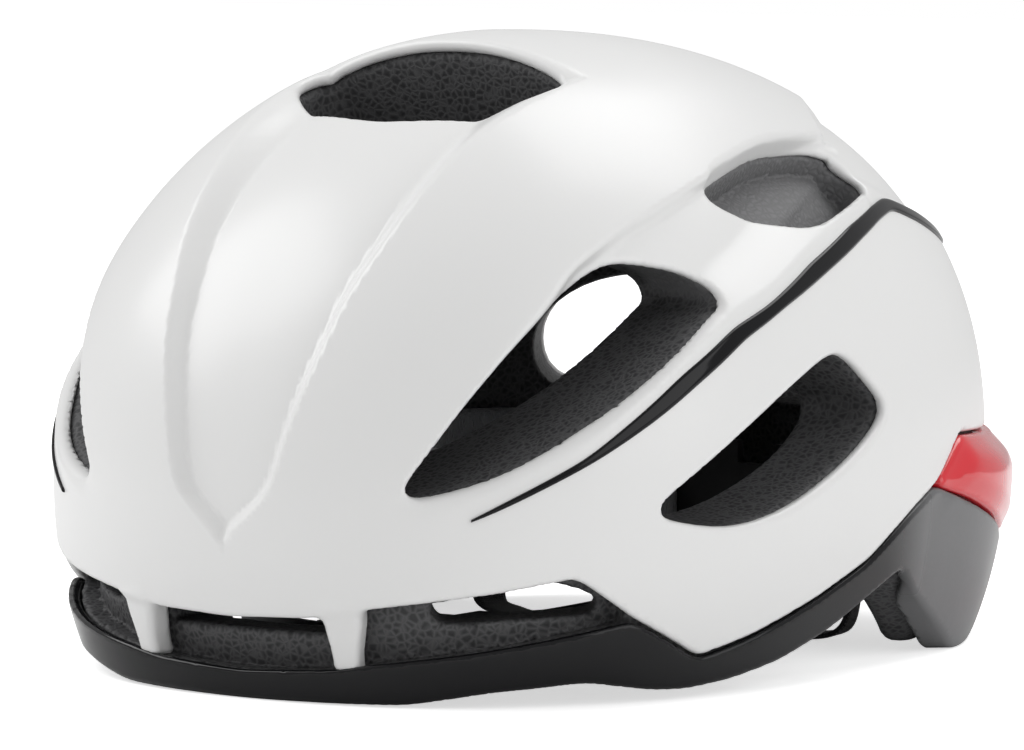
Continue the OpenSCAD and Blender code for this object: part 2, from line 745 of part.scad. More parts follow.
module anchor_pockets() {
    for (q = [[front_anchor, 0], [rear_anchor, 42]])
        translate(q[0]) rotate([0, 0, q[1]])
            translate([-20, -web_w / 2 - 1 - anchor_gap, 0.5 - anchor_gap])
                cube([25 + anchor_gap, web_w + 2 + 2 * anchor_gap, 5 + 2 * anchor_gap]);
}

// Divider under the ear, where the three webbings meet, with a cam lever on a pin
lever_pin_r = 0.9;
lever_y = divider_y - 5;
lever_z = divider_z + divider_t + 1.6;

module divider() {
    color("#1a1a1b")
        difference() {
            union() {
                translate([divider_x - divider_w / 2, divider_y - 9, divider_z])
                    cube([divider_w, 18, divider_t]);
                for (x = [-divider_w / 2, divider_w / 2 - 2])
                    hull() {
                        translate([divider_x + x, lever_y, lever_z]) rotate([0, 90, 0])
                            cylinder(2, r = 1.9, $fn = 32);
                        translate([divider_x + x, lever_y - 1.9, divider_z]) cube([2, 3.8, 1]);
                    }
            }
            translate([divider_x - divider_w, divider_y - web_w / 2 - 0.4, divider_z + 1])
                cube([divider_w * 2, web_w + 0.8, web_t + 0.8]);
            translate([divider_x - divider_w, lever_y, lever_z]) rotate([0, 90, 0])
                cylinder(divider_w * 2, r = lever_pin_r + run_gap);
        }
}

module left_divider() {
    divider();
}

module right_divider() {
    mirror([1, 0, 0]) divider();
}

module lever() {
    w = divider_w - 4.8;
    color("#232325")
        difference() {
            union() {
                translate([divider_x - w / 2, lever_y, lever_z]) rotate([0, 90, 0]) cylinder(w, r = 1.5);
                translate([divider_x - w / 2, lever_y, lever_z - 0.2]) cube([w, 13, 1.7]);
            }
            translate([divider_x - w, lever_y, lever_z]) rotate([0, 90, 0])
                cylinder(2 * w, r = lever_pin_r + run_gap);
        }
}

module left_lever() {
    lever();
}

module right_lever() {
    mirror([1, 0, 0]) lever();
}

module lever_pins() {
    color("#8c8f93")
        both_sides()
            translate([divider_x - divider_w / 2, lever_y, lever_z]) rotate([0, 90, 0])
                cylinder(divider_w, r = lever_pin_r);
}

// Chin buckle: the socket on the right strap, the plug on the left one
buckle_w = 22;
buckle_t = 7;
socket_l = 24;
plug_l = 17;
buckle_gap = 0.4;
chin_z = divider_z + 1.4 + web_t / 2;

module buckle_socket() {
    color("#1a1a1b")
        difference() {
            translate([-socket_l, divider_y - buckle_w / 2, divider_z]) cube([socket_l, buckle_w, buckle_t]);
            translate([-16, divider_y - 6.4, divider_z + 1.6]) cube([20, 12.8, buckle_t - 3.2]);
            translate([-14, divider_y - buckle_w, divider_z + 2]) cube([6, buckle_w * 2, buckle_t - 4]);
            translate([-socket_l - 1, divider_y - web_w / 2 - 0.4, divider_z + 1])
                cube([6, web_w + 0.8, web_t + 0.8]);
        }
}

module buckle_plug() {
    t = buckle_t - 3.2 - 2 * buckle_gap;
    z = divider_z + 1.6 + buckle_gap;
    color("#1a1a1b")
        difference() {
            union() {
                translate([buckle_gap, divider_y - buckle_w / 2, divider_z]) cube([plug_l, buckle_w, buckle_t]);
                for (s = [-1, 1])
                    translate([-14, divider_y + s * 4.4 - 1.4, z]) cube([16, 2.8, t]);
            }
            translate([5, divider_y - web_w / 2 - 0.4, divider_z + 1])
                cube([plug_l, web_w + 0.8, web_t + 0.8]);
        }
}

module chin_web(x0, x1) {
    color("#141415")
        translate([x0, divider_y - web_w / 2, chin_z - web_t / 2]) cube([x1 - x0, web_w, web_t]);
}

module left_chin_strap() {
    chin_web(5.4, divider_x + divider_w / 2 + 6);
}

module right_chin_strap() {
    chin_web(-divider_x - divider_w / 2 - 6, -socket_l + 4.6);
}

// Soft sleeve under the chin, round the right strap
module chin_pad() {
    color("#c9cbcd")
        difference() {
            translate([-divider_x + divider_w / 2 + 1, divider_y - web_w / 2 - 3, 0.2])
                cube([divider_x - divider_w / 2 - socket_l - 2, web_w + 6, chin_z + web_t / 2 + 2.5]);
            translate([-divider_x, divider_y - web_w / 2 - 0.3, chin_z - web_t / 2 - 0.3])
                cube([divider_x, web_w + 0.6, web_t + 0.6]);
        }
}

outer_shell();
lower_shell();
foam_liner();
left_stripe();
right_stripe();
rear_insert();
brow_pad();
crown_pad();
left_side_pad();
right_side_pad();
left_rear_pad();
right_rear_pad();
pad_fasteners();
front_band();
front_band_pins();
height_track();
track_pins();
hanger();
cradle();
cradle_pads();
dial_housing();
housing_screws();
left_band();
right_band();
dial_pinion();
dial_knob();
click_spring();
dial_screw();
strap_anchors();
left_front_strap();
left_rear_strap();
right_front_strap();
right_rear_strap();
left_divider();
right_divider();
left_lever();
right_lever();
lever_pins();
left_chin_strap();
right_chin_strap();
buckle_socket();
buckle_plug();
chin_pad();
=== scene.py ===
"""Looks of a road cycling helmet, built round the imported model, in metres.

The helmet stands on its rim: +Z is up, the nose points to -Y and the wearer's left is +X.
Shells and foam are cut from signed distance fields in millimetres, soft pieces are sewn and
inflated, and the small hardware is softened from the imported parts.
"""

import json
import logging
import math
from dataclasses import dataclass, field
from enum import Enum
from typing import Callable, Sequence

import bmesh
import bpy
import numpy as np
from mathutils import Matrix, Vector


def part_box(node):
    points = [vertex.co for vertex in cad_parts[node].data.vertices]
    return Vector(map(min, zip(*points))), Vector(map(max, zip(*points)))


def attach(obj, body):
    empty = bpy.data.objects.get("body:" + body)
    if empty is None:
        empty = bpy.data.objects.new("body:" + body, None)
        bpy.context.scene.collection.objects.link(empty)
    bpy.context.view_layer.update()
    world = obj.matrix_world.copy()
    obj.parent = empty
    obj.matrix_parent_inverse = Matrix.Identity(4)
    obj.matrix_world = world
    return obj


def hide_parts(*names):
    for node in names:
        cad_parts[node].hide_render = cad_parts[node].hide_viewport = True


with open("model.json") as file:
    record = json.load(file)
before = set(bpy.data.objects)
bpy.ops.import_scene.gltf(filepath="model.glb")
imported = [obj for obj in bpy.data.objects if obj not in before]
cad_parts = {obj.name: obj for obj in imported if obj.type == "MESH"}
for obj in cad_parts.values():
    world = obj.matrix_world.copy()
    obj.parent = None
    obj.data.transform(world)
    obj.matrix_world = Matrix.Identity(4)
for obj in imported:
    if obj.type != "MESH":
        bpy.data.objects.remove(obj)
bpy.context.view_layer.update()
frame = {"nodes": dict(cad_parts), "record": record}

MM = 0.001
Array = np.ndarray
Sockets = tuple[bpy.types.NodeSocket, bpy.types.NodeSocket]
log = logging.getLogger("helmet")


# ---------------------------------------------------------------------------------------------
# Field arithmetic
# ---------------------------------------------------------------------------------------------


def smooth01(t: Array) -> Array:
    """Works out t cut to 0..1 with a smooth start and end.

    Args:
        t: Values to ease.

    Returns:
        T cut to 0..1 with a smooth start and end.
    """
    u = np.clip(t, 0.0, 1.0)
    return u * u * (3.0 - 2.0 * u)


def round_max(a: Array, b: Array, radius: float) -> Array:
    """Intersection of two fields whose outside corner is rounded.

    Args:
        a: First signed distance.
        b: Second signed distance.
        radius: Radius of the rounded corner, in millimetres.

    Returns:
        The signed distance of the intersection.
    """
    u = np.maximum(radius + a, 0.0)
    v = np.maximum(radius + b, 0.0)
    return np.minimum(-radius, np.maximum(a, b)) + np.sqrt(u * u + v * v)


def round_min(a: Array, b: Array, radius: float) -> Array:
    """Union of two fields whose inside corner is filled with a fillet of that radius.

    Args:
        a: First signed distance.
        b: Second signed distance.
        radius: Radius, in millimetres.

    Returns:
        The result, one value for each point.
    """
    return -round_max(-a, -b, radius)


def chaikin(points: Array, passes: int) -> Array:
    """Rounds a closed outline by cutting its corners.

    Args:
        points: Outline as rows of two coordinates.
        passes: How often the corners are cut.

    Returns:
        The finer outline.
    """
    for _ in range(passes):
        after = np.roll(points, -1, axis=0)
        points = np.stack([0.75 * points + 0.25 * after, 0.25 * points + 0.75 * after], 1).reshape(-1, 2)
    return points


class AngleCurve:
    """A height that varies with the angle from the nose, the same on both sides."""

    def __init__(self, knots: Sequence[tuple[float, float]], soften: float = 1.2) -> None:
        """Builds the curve.

        Args:
            knots: Pairs of an angle in degrees and a height in millimetres.
            soften: Width of the rounding at each knot, in degrees.
        """
        step = 0.25
        self.angles = np.arange(0.0, 180.0 + step, step)
        heights = np.interp(self.angles, [k[0] for k in knots], [k[1] for k in knots])
        reach = int(4 * soften / step)
        kernel = np.exp(-0.5 * (np.arange(-reach, reach + 1) * step / soften) ** 2)
        padded = np.concatenate([heights[reach:0:-1], heights, heights[-2:-reach - 2:-1]])
        self.heights = np.convolve(padded, kernel / kernel.sum(), "valid")
        self.slopes = np.gradient(self.heights, np.radians(step))

    def at(self, angle: Array) -> Array:
        """Works out the height at an angle in degrees, 0 to 180.

        Args:
            angle: Angle from the nose, in degrees.

        Returns:
            The height at an angle in degrees, 0 to 180.
        """
        return np.interp(angle, self.angles, self.heights)

    def steepness(self, angle: Array, radius: Array) -> Array:
        """Works out how much longer a sloping edge makes an upright distance, at a radius.

        Args:
            angle: Angle from the nose, in degrees.
            radius: Radius, in millimetres.

        Returns:
            How much longer a sloping edge makes an upright distance, at a radius.
        """
        slope = np.interp(angle, self.angles, self.slopes) / np.maximum(radius, 1.0)
        return np.sqrt(1.0 + slope * slope)


# ---------------------------------------------------------------------------------------------
# The helmet's form
# ---------------------------------------------------------------------------------------------


@dataclass
class HelmetForm:
    """The rounded outer form of the helmet, in millimetres, with the heights of its seams."""

    half_w: float
    front_y: float
    rear_y: float
    top_z: float
    mid_y: float = -18.8
    waist_z: float = 51.1
    skirt_h: float = 113.0
    plan_n: float = 2.33
    nose_n: float = 1.94
    tail_n: float = 2.24
    skirt_n: float = 2.2
    flare: float = 6.0
    edge: AngleCurve = field(default_factory=lambda: AngleCurve([
        (0, 21), (11, 22), (19, 25), (33, 29), (43, 32.7), (51, 22), (62, 11), (72, 15), (88, 23),
        (100, 30), (112, 41), (120, 47), (128, 58.5), (140, 57), (180, 56)], 0.9))
    rim_top: AngleCurve = field(default_factory=lambda: AngleCurve([
        (0, 7.5), (13, 9), (18, 10.7), (30, 14), (41, 17.7), (51, 21.3), (62, 10.2), (72, 14.2),
        (88, 22.2), (100, 29.2), (112, 40.2), (120, 46), (128, 40.2), (144, 27.2), (155, 33.2),
        (165, 40.2), (180, 43.2)], 1.2))
    rim_low: AngleCurve = field(default_factory=lambda: AngleCurve([
        (0, 0), (22, 0.5), (33, 4), (45, 6), (55, 3), (61, 2.5), (70, 4), (80, 7), (92, 13),
        (102, 20), (111, 26), (116, 19.5), (122, 13), (128, 5), (132, 0), (140, 0), (147, 9),
        (155, 22), (165, 31), (180, 34)], 1.4))
    insert_low: AngleCurve = field(default_factory=lambda: AngleCurve([
        (119, 46.5), (128, 41), (144, 28), (155, 34), (165, 41), (180, 44)], 1.2))

    def angle(self, p: Array) -> Array:
        """Works out the angle of points from the nose, in degrees, 0 to 180.

        Args:
            p: Points as rows of x, y and z, in millimetres.

        Returns:
            The angle of points from the nose, in degrees, 0 to 180.
        """
        return np.degrees(np.arctan2(np.abs(p[:, 0]), self.mid_y - p[:, 1]))

    def side_n(self, p: Array) -> Array:
        """Works out the side exponent, which differs between nose and tail.

        Args:
            p: Points as rows of x, y and z, in millimetres.

        Returns:
            The side exponent, which differs between nose and tail.
        """
        run = np.hypot(p[:, 0], p[:, 1] - self.mid_y) + 1e-6
        t = 1.0 / (1.0 + np.exp(4.0 * (self.mid_y - p[:, 1]) / run))
        return self.nose_n * (1.0 - t) + self.tail_n * t

    def distance(self, p: Array) -> Array:
        """Works out the signed distance of points to the form, in millimetres, negative inside.

        Args:
            p: Points as rows of x, y and z, in millimetres.

        Returns:
            The signed distance of points to the form, in millimetres, negative inside.
        """
        along = p[:, 1] - self.mid_y
        length = np.where(along < 0, self.mid_y - self.front_y, self.rear_y - self.mid_y)
        u = np.abs(p[:, 0]) / self.half_w + 1e-6
        v = np.abs(along) / length + 1e-6
        rho = (u ** self.plan_n + v ** self.plan_n) ** (1.0 / self.plan_n)
        up = p[:, 2] > self.waist_z
        height = np.where(up, self.top_z - self.waist_z, self.skirt_h)
        n = np.where(up, self.side_n(p), self.skirt_n)
        h = np.abs(p[:, 2] - self.waist_z) / height + 1e-6
        whole = (rho ** n + h ** n) ** (1.0 / n)
        d_rho = (rho / whole) ** (n - 1)
        d_h = (h / whole) ** (n - 1) / height
        d_u = (u / rho) ** (self.plan_n - 1) / self.half_w
        d_v = (v / rho) ** (self.plan_n - 1) / length
        slope = np.sqrt(d_rho ** 2 * (d_u ** 2 + d_v ** 2) + d_h ** 2)
        return (whole - 1.0) / slope

    def skin(self, angle: float, z: float, out: float = 0.0) -> Array:
        """Returns the point of the form at an angle in degrees and a height.

        Args:
            angle: Angle from the nose, positive to the wearer's left.
            z: Height over the table.
            out: Distance that the point stands out of the form.
        """
        a = math.radians(angle)
        length = self.mid_y - self.front_y if math.cos(a) > 0 else self.rear_y - self.mid_y
        plan = ((abs(math.sin(a)) / self.half_w) ** self.plan_n
                + (abs(math.cos(a)) / length) ** self.plan_n) ** (-1.0 / self.plan_n)
        t = 1.0 / (1.0 + math.exp(4.0 * math.cos(a)))
        up = z > self.waist_z
        n = self.nose_n * (1 - t) + self.tail_n * t if up else self.skirt_n
        height = self.top_z - self.waist_z if up else self.skirt_h
        r = plan * max(1e-5, 1.0 - (abs(z - self.waist_z) / height) ** n) ** (1.0 / n)
        point = np.array([r * math.sin(a), self.mid_y - r * math.cos(a), z])
        if out:
            point = point + self.normal(point[None, :])[0] * out
        return point

    def normal(self, p: Array) -> Array:
        """Works out the outward direction of the form at points.

        Args:
            p: Points as rows of x, y and z, in millimetres.

        Returns:
            The outward direction of the form at points.
        """
        return gradient(self.distance, p)

    def flare_at(self, angle: Array, z: Array) -> Array:
        """Works out how far the hooks and the insert stand out, which fades to the white edge.

        Args:
            angle: Angle from the nose, in degrees.
            z: Height over the table, in millimetres.

        Returns:
            How far the hooks and the insert stand out, which fades to the white edge.
        """
        fade = smooth01((self.edge.at(angle) + 3.0 - z) / 15.0)
        return self.flare * smooth01((angle - 117.0) / 20.0) * smooth01((179.0 - angle) / 28.0) * fade


def gradient(distance: Callable[[Array], Array], p: Array, step: float = 0.12) -> Array:
    """Works out the unit gradient of a field at points, by central differences.

    Args:
        distance: The field.
        p: Points as rows of x, y and z, in millimetres.
        step: Half the difference step, in millimetres.

    Returns:
        The unit gradient of a field at points, by central differences.
    """
    parts = []
    for axis in range(3):
        shift = np.zeros(3)
        shift[axis] = step
        parts.append(distance(p + shift) - distance(p - shift))
    g = np.stack(parts, 1)
    return g / (np.linalg.norm(g, axis=1, keepdims=True) + 1e-9)


@dataclass
class Vent:
    """A vent: pairs of points on its two long edges, drawn through the wall along a direction."""

    pairs: Sequence[tuple[Sequence[float], Sequence[float]]]
    draw: Sequence[float]
    reach: float = 62.0
    grow: float = 2.0
    passes: int = 2
    cell: float = 0.5
    pad: float = 16.0

    def __post_init__(self) -> None:
        """Works out the outline across the draw direction and tabulates its distance."""
        w = Vector(self.draw).normalized()
        u = w.cross(Vector((0, 0, 1)) if abs(w.z) < 0.7 else Vector((1, 0, 0))).normalized()
        v = w.cross(u)
        self.axes = np.array([u, v, w], float)
        low = np.array([q[0] for q in self.pairs], float)
        top = np.array([q[1] for q in self.pairs], float)
        ring = np.concatenate([low, top[::-1]]) @ self.axes.T
        self.end = ring[:, 2].max() + self.reach
        line = chaikin(ring[:, :2], self.passes)
        self.origin = line.min(0) - self.pad
        count = np.ceil((line.max(0) + self.pad - self.origin) / self.cell).astype(int) + 1
        gu, gv = np.meshgrid(*(self.origin[i] + self.cell * np.arange(count[i]) for i in (0, 1)),
                             indexing="ij")
        self.table = (outline_distance(line, np.stack([gu.ravel(), gv.ravel()], 1))
                      - self.grow).reshape(gu.shape)

    def distance(self, p: Array) -> Array:
        """Works out the signed distance of points to the vent's prism, negative inside it.

        Args:
            p: Points as rows of x, y and z, in millimetres.

        Returns:
            The signed distance of points to the vent's prism, negative inside it.
        """
        q = p @ self.axes.T
        f = (q[:, :2] - self.origin) / self.cell
        top = np.array(self.table.shape) - 1.001
        f = np.clip(f, 0.0, top)
        i = f.astype(int)
        t = f - i
        tab = self.table
        a = tab[i[:, 0], i[:, 1]] * (1 - t[:, 0]) + tab[i[:, 0] + 1, i[:, 1]] * t[:, 0]
        b = tab[i[:, 0], i[:, 1] + 1] * (1 - t[:, 0]) + tab[i[:, 0] + 1, i[:, 1] + 1] * t[:, 0]
        return np.maximum(a * (1 - t[:, 1]) + b * t[:, 1], q[:, 2] - self.end)


def outline_distance(line: Array, points: Array) -> Array:
    """Signed distance of plane points to a closed outline, negative inside.

    Args:
        line: Corners of the outline.
        points: The points.

    Returns:
        One distance for each point.
    """
    best = np.full(len(points), 1e9)
    inside = np.zeros(len(points), bool)
    for a, b in zip(line, np.roll(line, -1, axis=0)):
        ab = b - a
        ap = points - a
        t = np.clip(ap @ ab / max(ab @ ab, 1e-12), 0.0, 1.0)
        best = np.minimum(best, ((ap - t[:, None] * ab) ** 2).sum(1))
        crosses = (a[1] > points[:, 1]) != (b[1] > points[:, 1])
        if abs(b[1] - a[1]) > 1e-12:
            at = a[0] + (points[:, 1] - a[1]) / (b[1] - a[1]) * (b[0] - a[0])
            inside ^= crosses & (points[:, 0] < at)
    return np.sqrt(best) * np.where(inside, -1.0, 1.0)


@dataclass
class ShellRelief:
    """What is raised or sunk on the white shell: the shield, the shoulders, the spine and a ridge."""

    form: HelmetForm
    shield: Sequence[tuple[float, float]] = (
        (40.0, 0.0), (51.0, 14.7), (72.0, 20.0), (90.0, 25.0), (100.0, 27.0), (112.0, 31.0),
        (125.0, 34.0), (137.0, 36.5), (146.0, 40.0), (152.0, 42.0), (165.0, 42.0))
    shield_depth: Sequence[tuple[float, float]] = (
        (40.0, 2.8), (60.0, 3.6), (90.0, 4.4), (112.0, 5.6), (130.0, 6.8), (145.0, 7.8))
    shield_wall: Sequence[tuple[float, float]] = (
        (40.0, 4.0), (90.0, 5.0), (112.0, 7.0), (130.0, 10.0), (145.0, 14.0))
    arch_y: float = -40.5
    crest: Sequence[tuple[float, float]] = (
        (-140.0, 40.0), (-135.0, 53.0), (-128.5, 69.0), (-114.0, 88.5), (-92.0, 109.0),
        (-74.0, 118.0), (-53.0, 125.0), (-39.0, 129.0), (-30.0, 131.5), (-18.0, 133.5), (-5.0, 136.0),
        (12.0, 137.5), (28.0, 138.0), (45.0, 138.0))
    shoulder_depth: float = 4.6
    shoulder_wall: float = 6.0
    spine: Sequence[tuple[float, float]] = (
        (24.0, 72.0), (31.0, 66.0), (36.0, 60.0), (60.0, 41.0), (95.0, 29.0), (125.0, 22.0))
    spine_depth: float = 3.2
    spine_wall: float = 5.0
    stripe_top: AngleCurve = field(default_factory=lambda: AngleCurve([
        (0, 20), (30, 47), (34, 51.5), (44, 62), (49, 69), (58, 81), (69, 92), (78, 97), (92, 106),
        (108, 114), (120, 118.5), (127, 120.4), (137, 115.5), (147, 109), (180, 90)], 1.5))
    ridge: float = 0.8

    @staticmethod
    def _lookup(knots: Sequence[tuple[float, float]], at: Array) -> Array:
        """Works out the value of a list of knots at places along it, softened at the knots.

        Args:
            knots: Pairs of a place and a value.
            at: Places to read.

        Returns:
            The value of a list of knots at places along it, softened at the knots.
        """
        places, values = [k[0] for k in knots], [k[1] for k in knots]
        weights = ((-7.0, 1), (-3.5, 4), (0.0, 6), (3.5, 4), (7.0, 1))
        return sum(share * np.interp(at + shift, places, values) for shift, share in weights) / 16.0

    def shield_inside(self, p: Array) -> Array:
        """Works out how far points lie inside the front shield, in millimetres.

        Args:
            p: Points as rows of x, y and z, in millimetres.

        Returns:
            How far points lie inside the front shield, in millimetres.
        """
        z = p[:, 2]
        half = self._lookup(self.shield, z)
        slope = (self._lookup(self.shield, z + 2.0) - self._lookup(self.shield, z - 2.0)) / 4.0
        across = (half - np.abs(p[:, 0])) / np.sqrt(1.0 + slope * slope)
        return round_min(across, self.arch_y - p[:, 1] + 40.0 * (z < 100.0), 2.0)

    def height(self, p: Array) -> Array:
        """Works out how far the surface stands over the plain form at points, in millimetres.

        Args:
            p: Points as rows of x, y and z, in millimetres.

        Returns:
            How far the surface stands over the plain form at points, in millimetres.
        """
        x, y, z = np.abs(p[:, 0]), p[:, 1], p[:, 2]
        angle = self.form.angle(p)
        depth = self._lookup(self.shield_depth, z)
        wall = self._lookup(self.shield_wall, z)
        side = smooth01(self.shield_inside(p) / wall)
        behind = smooth01((self.arch_y - y) / 3.0)
        sunk = depth * np.minimum(side, np.where(z > 100.0, behind, 1.0))
        crest = self._lookup(self.crest, y)
        slope = (self._lookup(self.crest, y + 2.0) - self._lookup(self.crest, y - 2.0)) / 4.0
        below = (crest - z) / np.sqrt(1.0 + slope * slope)
        over = z - self.stripe_top.at(angle)
        shoulder = self.shoulder_depth * smooth01(below / self.shoulder_wall)
        shoulder *= smooth01((over - 4.0) / 12.0) * smooth01((y + 141.0) / 26.0) * (x > 30.0)
        shoulder *= smooth01((52.0 - y) / 16.0)
        aside = x - np.interp(y, [k[0] for k in self.spine], [k[1] for k in self.spine])
        spine = self.spine_depth * smooth01(aside / self.spine_wall) * smooth01((y - 27.0) / 6.0)
        spine *= smooth01((over + 3.0) / 10.0)
        ridge = self.ridge * np.exp(-((over - 3.2) / 2.0) ** 2)
        ridge *= smooth01((angle - 38.0) / 12.0) * smooth01((138.0 - angle) / 14.0)
        return ridge - np.maximum(np.maximum(sunk, shoulder), spine)


@dataclass
class Cavity:
    """The head cavity inside the foam."""

    form: HelmetForm
    width: float = 156.0
    length: float = 207.0
    top: float = 134.0
    centre_y: float = -3.0
    mid_z: float = 40.0
    power: float = 2.1
    rim_wall: float = 12.0

    def distance(self, p: Array) -> Array:
        """Works out the distance of points to the cavity wall, negative inside the cavity.

        Args:
            p: Points as rows of x, y and z, in millimetres.

        Returns:
            The distance of points to the cavity wall, negative inside the cavity.
        """
        x, y, z = np.abs(p[:, 0]), p[:, 1] - self.centre_y, p[:, 2]
        run = np.hypot(x, y) + 1e-6
        plan = ((x / run / (self.width / 2)) ** self.power
                + (np.abs(y) / run / (self.length / 2)) ** self.power) ** (-1.0 / self.power)
        low = np.clip((self.mid_z - z) / self.mid_z, 0.0, 1.0) ** 1.5
        rim = run + self.form.distance(p) * -1.0 - self.rim_wall
        reach = plan * (1.0 - low) + rim * low
        rise = self.top - self.mid_z
        h = np.maximum(z - self.mid_z, 0.0) / rise + 1e-6
        g = ((run / reach) ** self.power + h ** self.power) ** (1.0 / self.power)
        slope = np.hypot((run / reach / g) ** (self.power - 1) / reach, (h / g) ** (self.power - 1) / rise)
        return (g - 1.0) / slope


# ---------------------------------------------------------------------------------------------
# From a field to a mesh
# ---------------------------------------------------------------------------------------------


@dataclass
class FieldMesher:
    """Turns a field that is the same on both sides of the helmet into a smooth mesh."""

    low: Sequence[float]
    high: Sequence[float]
    cell: float

    def points(self) -> tuple[Array, tuple[int, int, int]]:
        """Works out the points of the left half of the grid, and how many there are each way.

        Returns:
            The points of the left half of the grid, and how many there are each way.
        """
        axes = [(np.arange(int(self.high[0] / self.cell) + 1) + 0.5) * self.cell]
        axes += [np.arange(self.low[i], self.high[i] + self.cell, self.cell) for i in (1, 2)]
        grid = np.meshgrid(*axes, indexing="ij")
        return np.stack([g.ravel() for g in grid], 1), grid[0].shape

    def build(self, name: str, distance: Callable[[Array], Array],
              near: Callable[[Array], Array] | None = None) -> bpy.types.Object:
        """Builds the surface where the field is zero.

        Args:
            name: Name of the new object.
            distance: The field, negative inside the solid.
            near: Quick guess of the field, which is trusted where it is far from zero.

        Returns:
            The object, in metres.
        """
        def even(p: Array) -> Array:
            return distance(np.stack([np.abs(p[:, 0]), p[:, 1], p[:, 2]], 1))

        points, shape = self.points()
        values = np.full(len(points), 9.0)
        close = np.ones(len(points), bool)
        if near:
            guess = near(points)
            close = np.abs(guess) < 4.0 * self.cell
            values = np.where(guess < 0, -9.0, 9.0)
        values[close] = even(points[close])
        half = values.reshape(shape)
        whole = np.concatenate([half[::-1], half], 0)
        start = np.array([-(shape[0] - 0.5) * self.cell, self.low[1], self.low[2]])
        verts, quads = surface_net(whole)
        verts = start + verts * self.cell
        for _ in range(2):
            way = gradient(even, verts, 0.25)
            verts = verts - way * np.clip(even(verts), -self.cell, self.cell)[:, None]
        return mesh_object(name, verts * MM, quads, gradient(even, verts, 0.2))


def surface_net(values: Array) -> tuple[Array, Array]:
    """Finds the zero surface of a grid of values as a net of quads.

    Args:
        values: The field on the grid, negative inside.

    Returns:
        The vertices in grid steps, and the quads.
    """
    inside = values < 0
    count = np.zeros(tuple(n - 1 for n in values.shape), np.int8)
    corners = [(i, j, k) for i in (0, 1) for j in (0, 1) for k in (0, 1)]
    size = count.shape
    for i, j, k in corners:
        count += inside[i:i + size[0], j:j + size[1], k:k + size[2]]
    active = (count > 0) & (count < 8)
    index = np.full(size, -1, np.int64)
    cells = np.argwhere(active)
    index[active] = np.arange(len(cells))
    at = np.stack([values[cells[:, 0] + i, cells[:, 1] + j, cells[:, 2] + k] for i, j, k in corners], 1)
    total = np.zeros((len(cells), 3))
    hits = np.zeros(len(cells))
    for a, ca in enumerate(corners):
        for b, cb in enumerate(corners):
            if b <= a or sum(abs(ca[i] - cb[i]) for i in range(3)) != 1:
                continue
            cross = (at[:, a] < 0) != (at[:, b] < 0)
            t = at[cross, a] / (at[cross, a] - at[cross, b])
            total[cross] += np.array(ca) + t[:, None] * (np.array(cb) - np.array(ca))
            hits[cross] += 1
    verts = cells + total / hits[:, None]
    quads = []
    for axis in range(3):
        u, v = (axis + 1) % 3, (axis + 2) % 3
        first = [slice(1, -1)] * 3
        first[axis] = slice(0, -1)
        second = list(first)
        second[axis] = slice(1, None)
        first_in, second_in = inside[tuple(first)], inside[tuple(second)]
        edge = np.argwhere(first_in != second_in)
        grows = first_in[tuple(edge.T)]
        base = edge.copy()
        base[:, u] += 1
        base[:, v] += 1
        steps = []
        for du, dv in ((-1, -1), (0, -1), (0, 0), (-1, 0)):
            cell = base.copy()
            cell[:, u] += du
            cell[:, v] += dv
            steps.append(index[tuple(cell.T)])
        ring = np.stack(steps, 1)
        quads.append(np.where(grows[:, None], ring, ring[:, ::-1]))
    return verts, np.concatenate(quads)


def mesh_object(name: str, verts: Array, faces: Array | Sequence[Sequence[int]],
                normals: Array | None = None) -> bpy.types.Object:
    """Makes an object from vertices and faces.

    Args:
        name: Name of the object.
        verts: Vertices, in metres.
        faces: Rows of vertex numbers.
        normals: Shading directions at the vertices, where they are known.

    Returns:
        The object, linked to the scene and shaded smooth.
    """
    mesh = bpy.data.meshes.new(name)
    mesh.from_pydata(np.asarray(verts).tolist(), [], np.asarray(faces).tolist()
                     if isinstance(faces, np.ndarray) else list(faces))
    mesh.validate()
    mesh.shade_smooth()
    if normals is not None and len(normals) == len(mesh.vertices):
        mesh.normals_split_custom_set_from_vertices(normals.tolist())
    thing = bpy.data.objects.new(name, mesh)
    bpy.context.scene.collection.objects.link(thing)
    return thing


# ---------------------------------------------------------------------------------------------
# Finishes
# ---------------------------------------------------------------------------------------------


class Pattern(Enum):
    """The small-scale surface of a finish."""

    GRAIN = "grain"
    BEADS = "beads"
    WEAVE = "weave"
    KNIT = "knit"
    BRUSHED = "brushed"


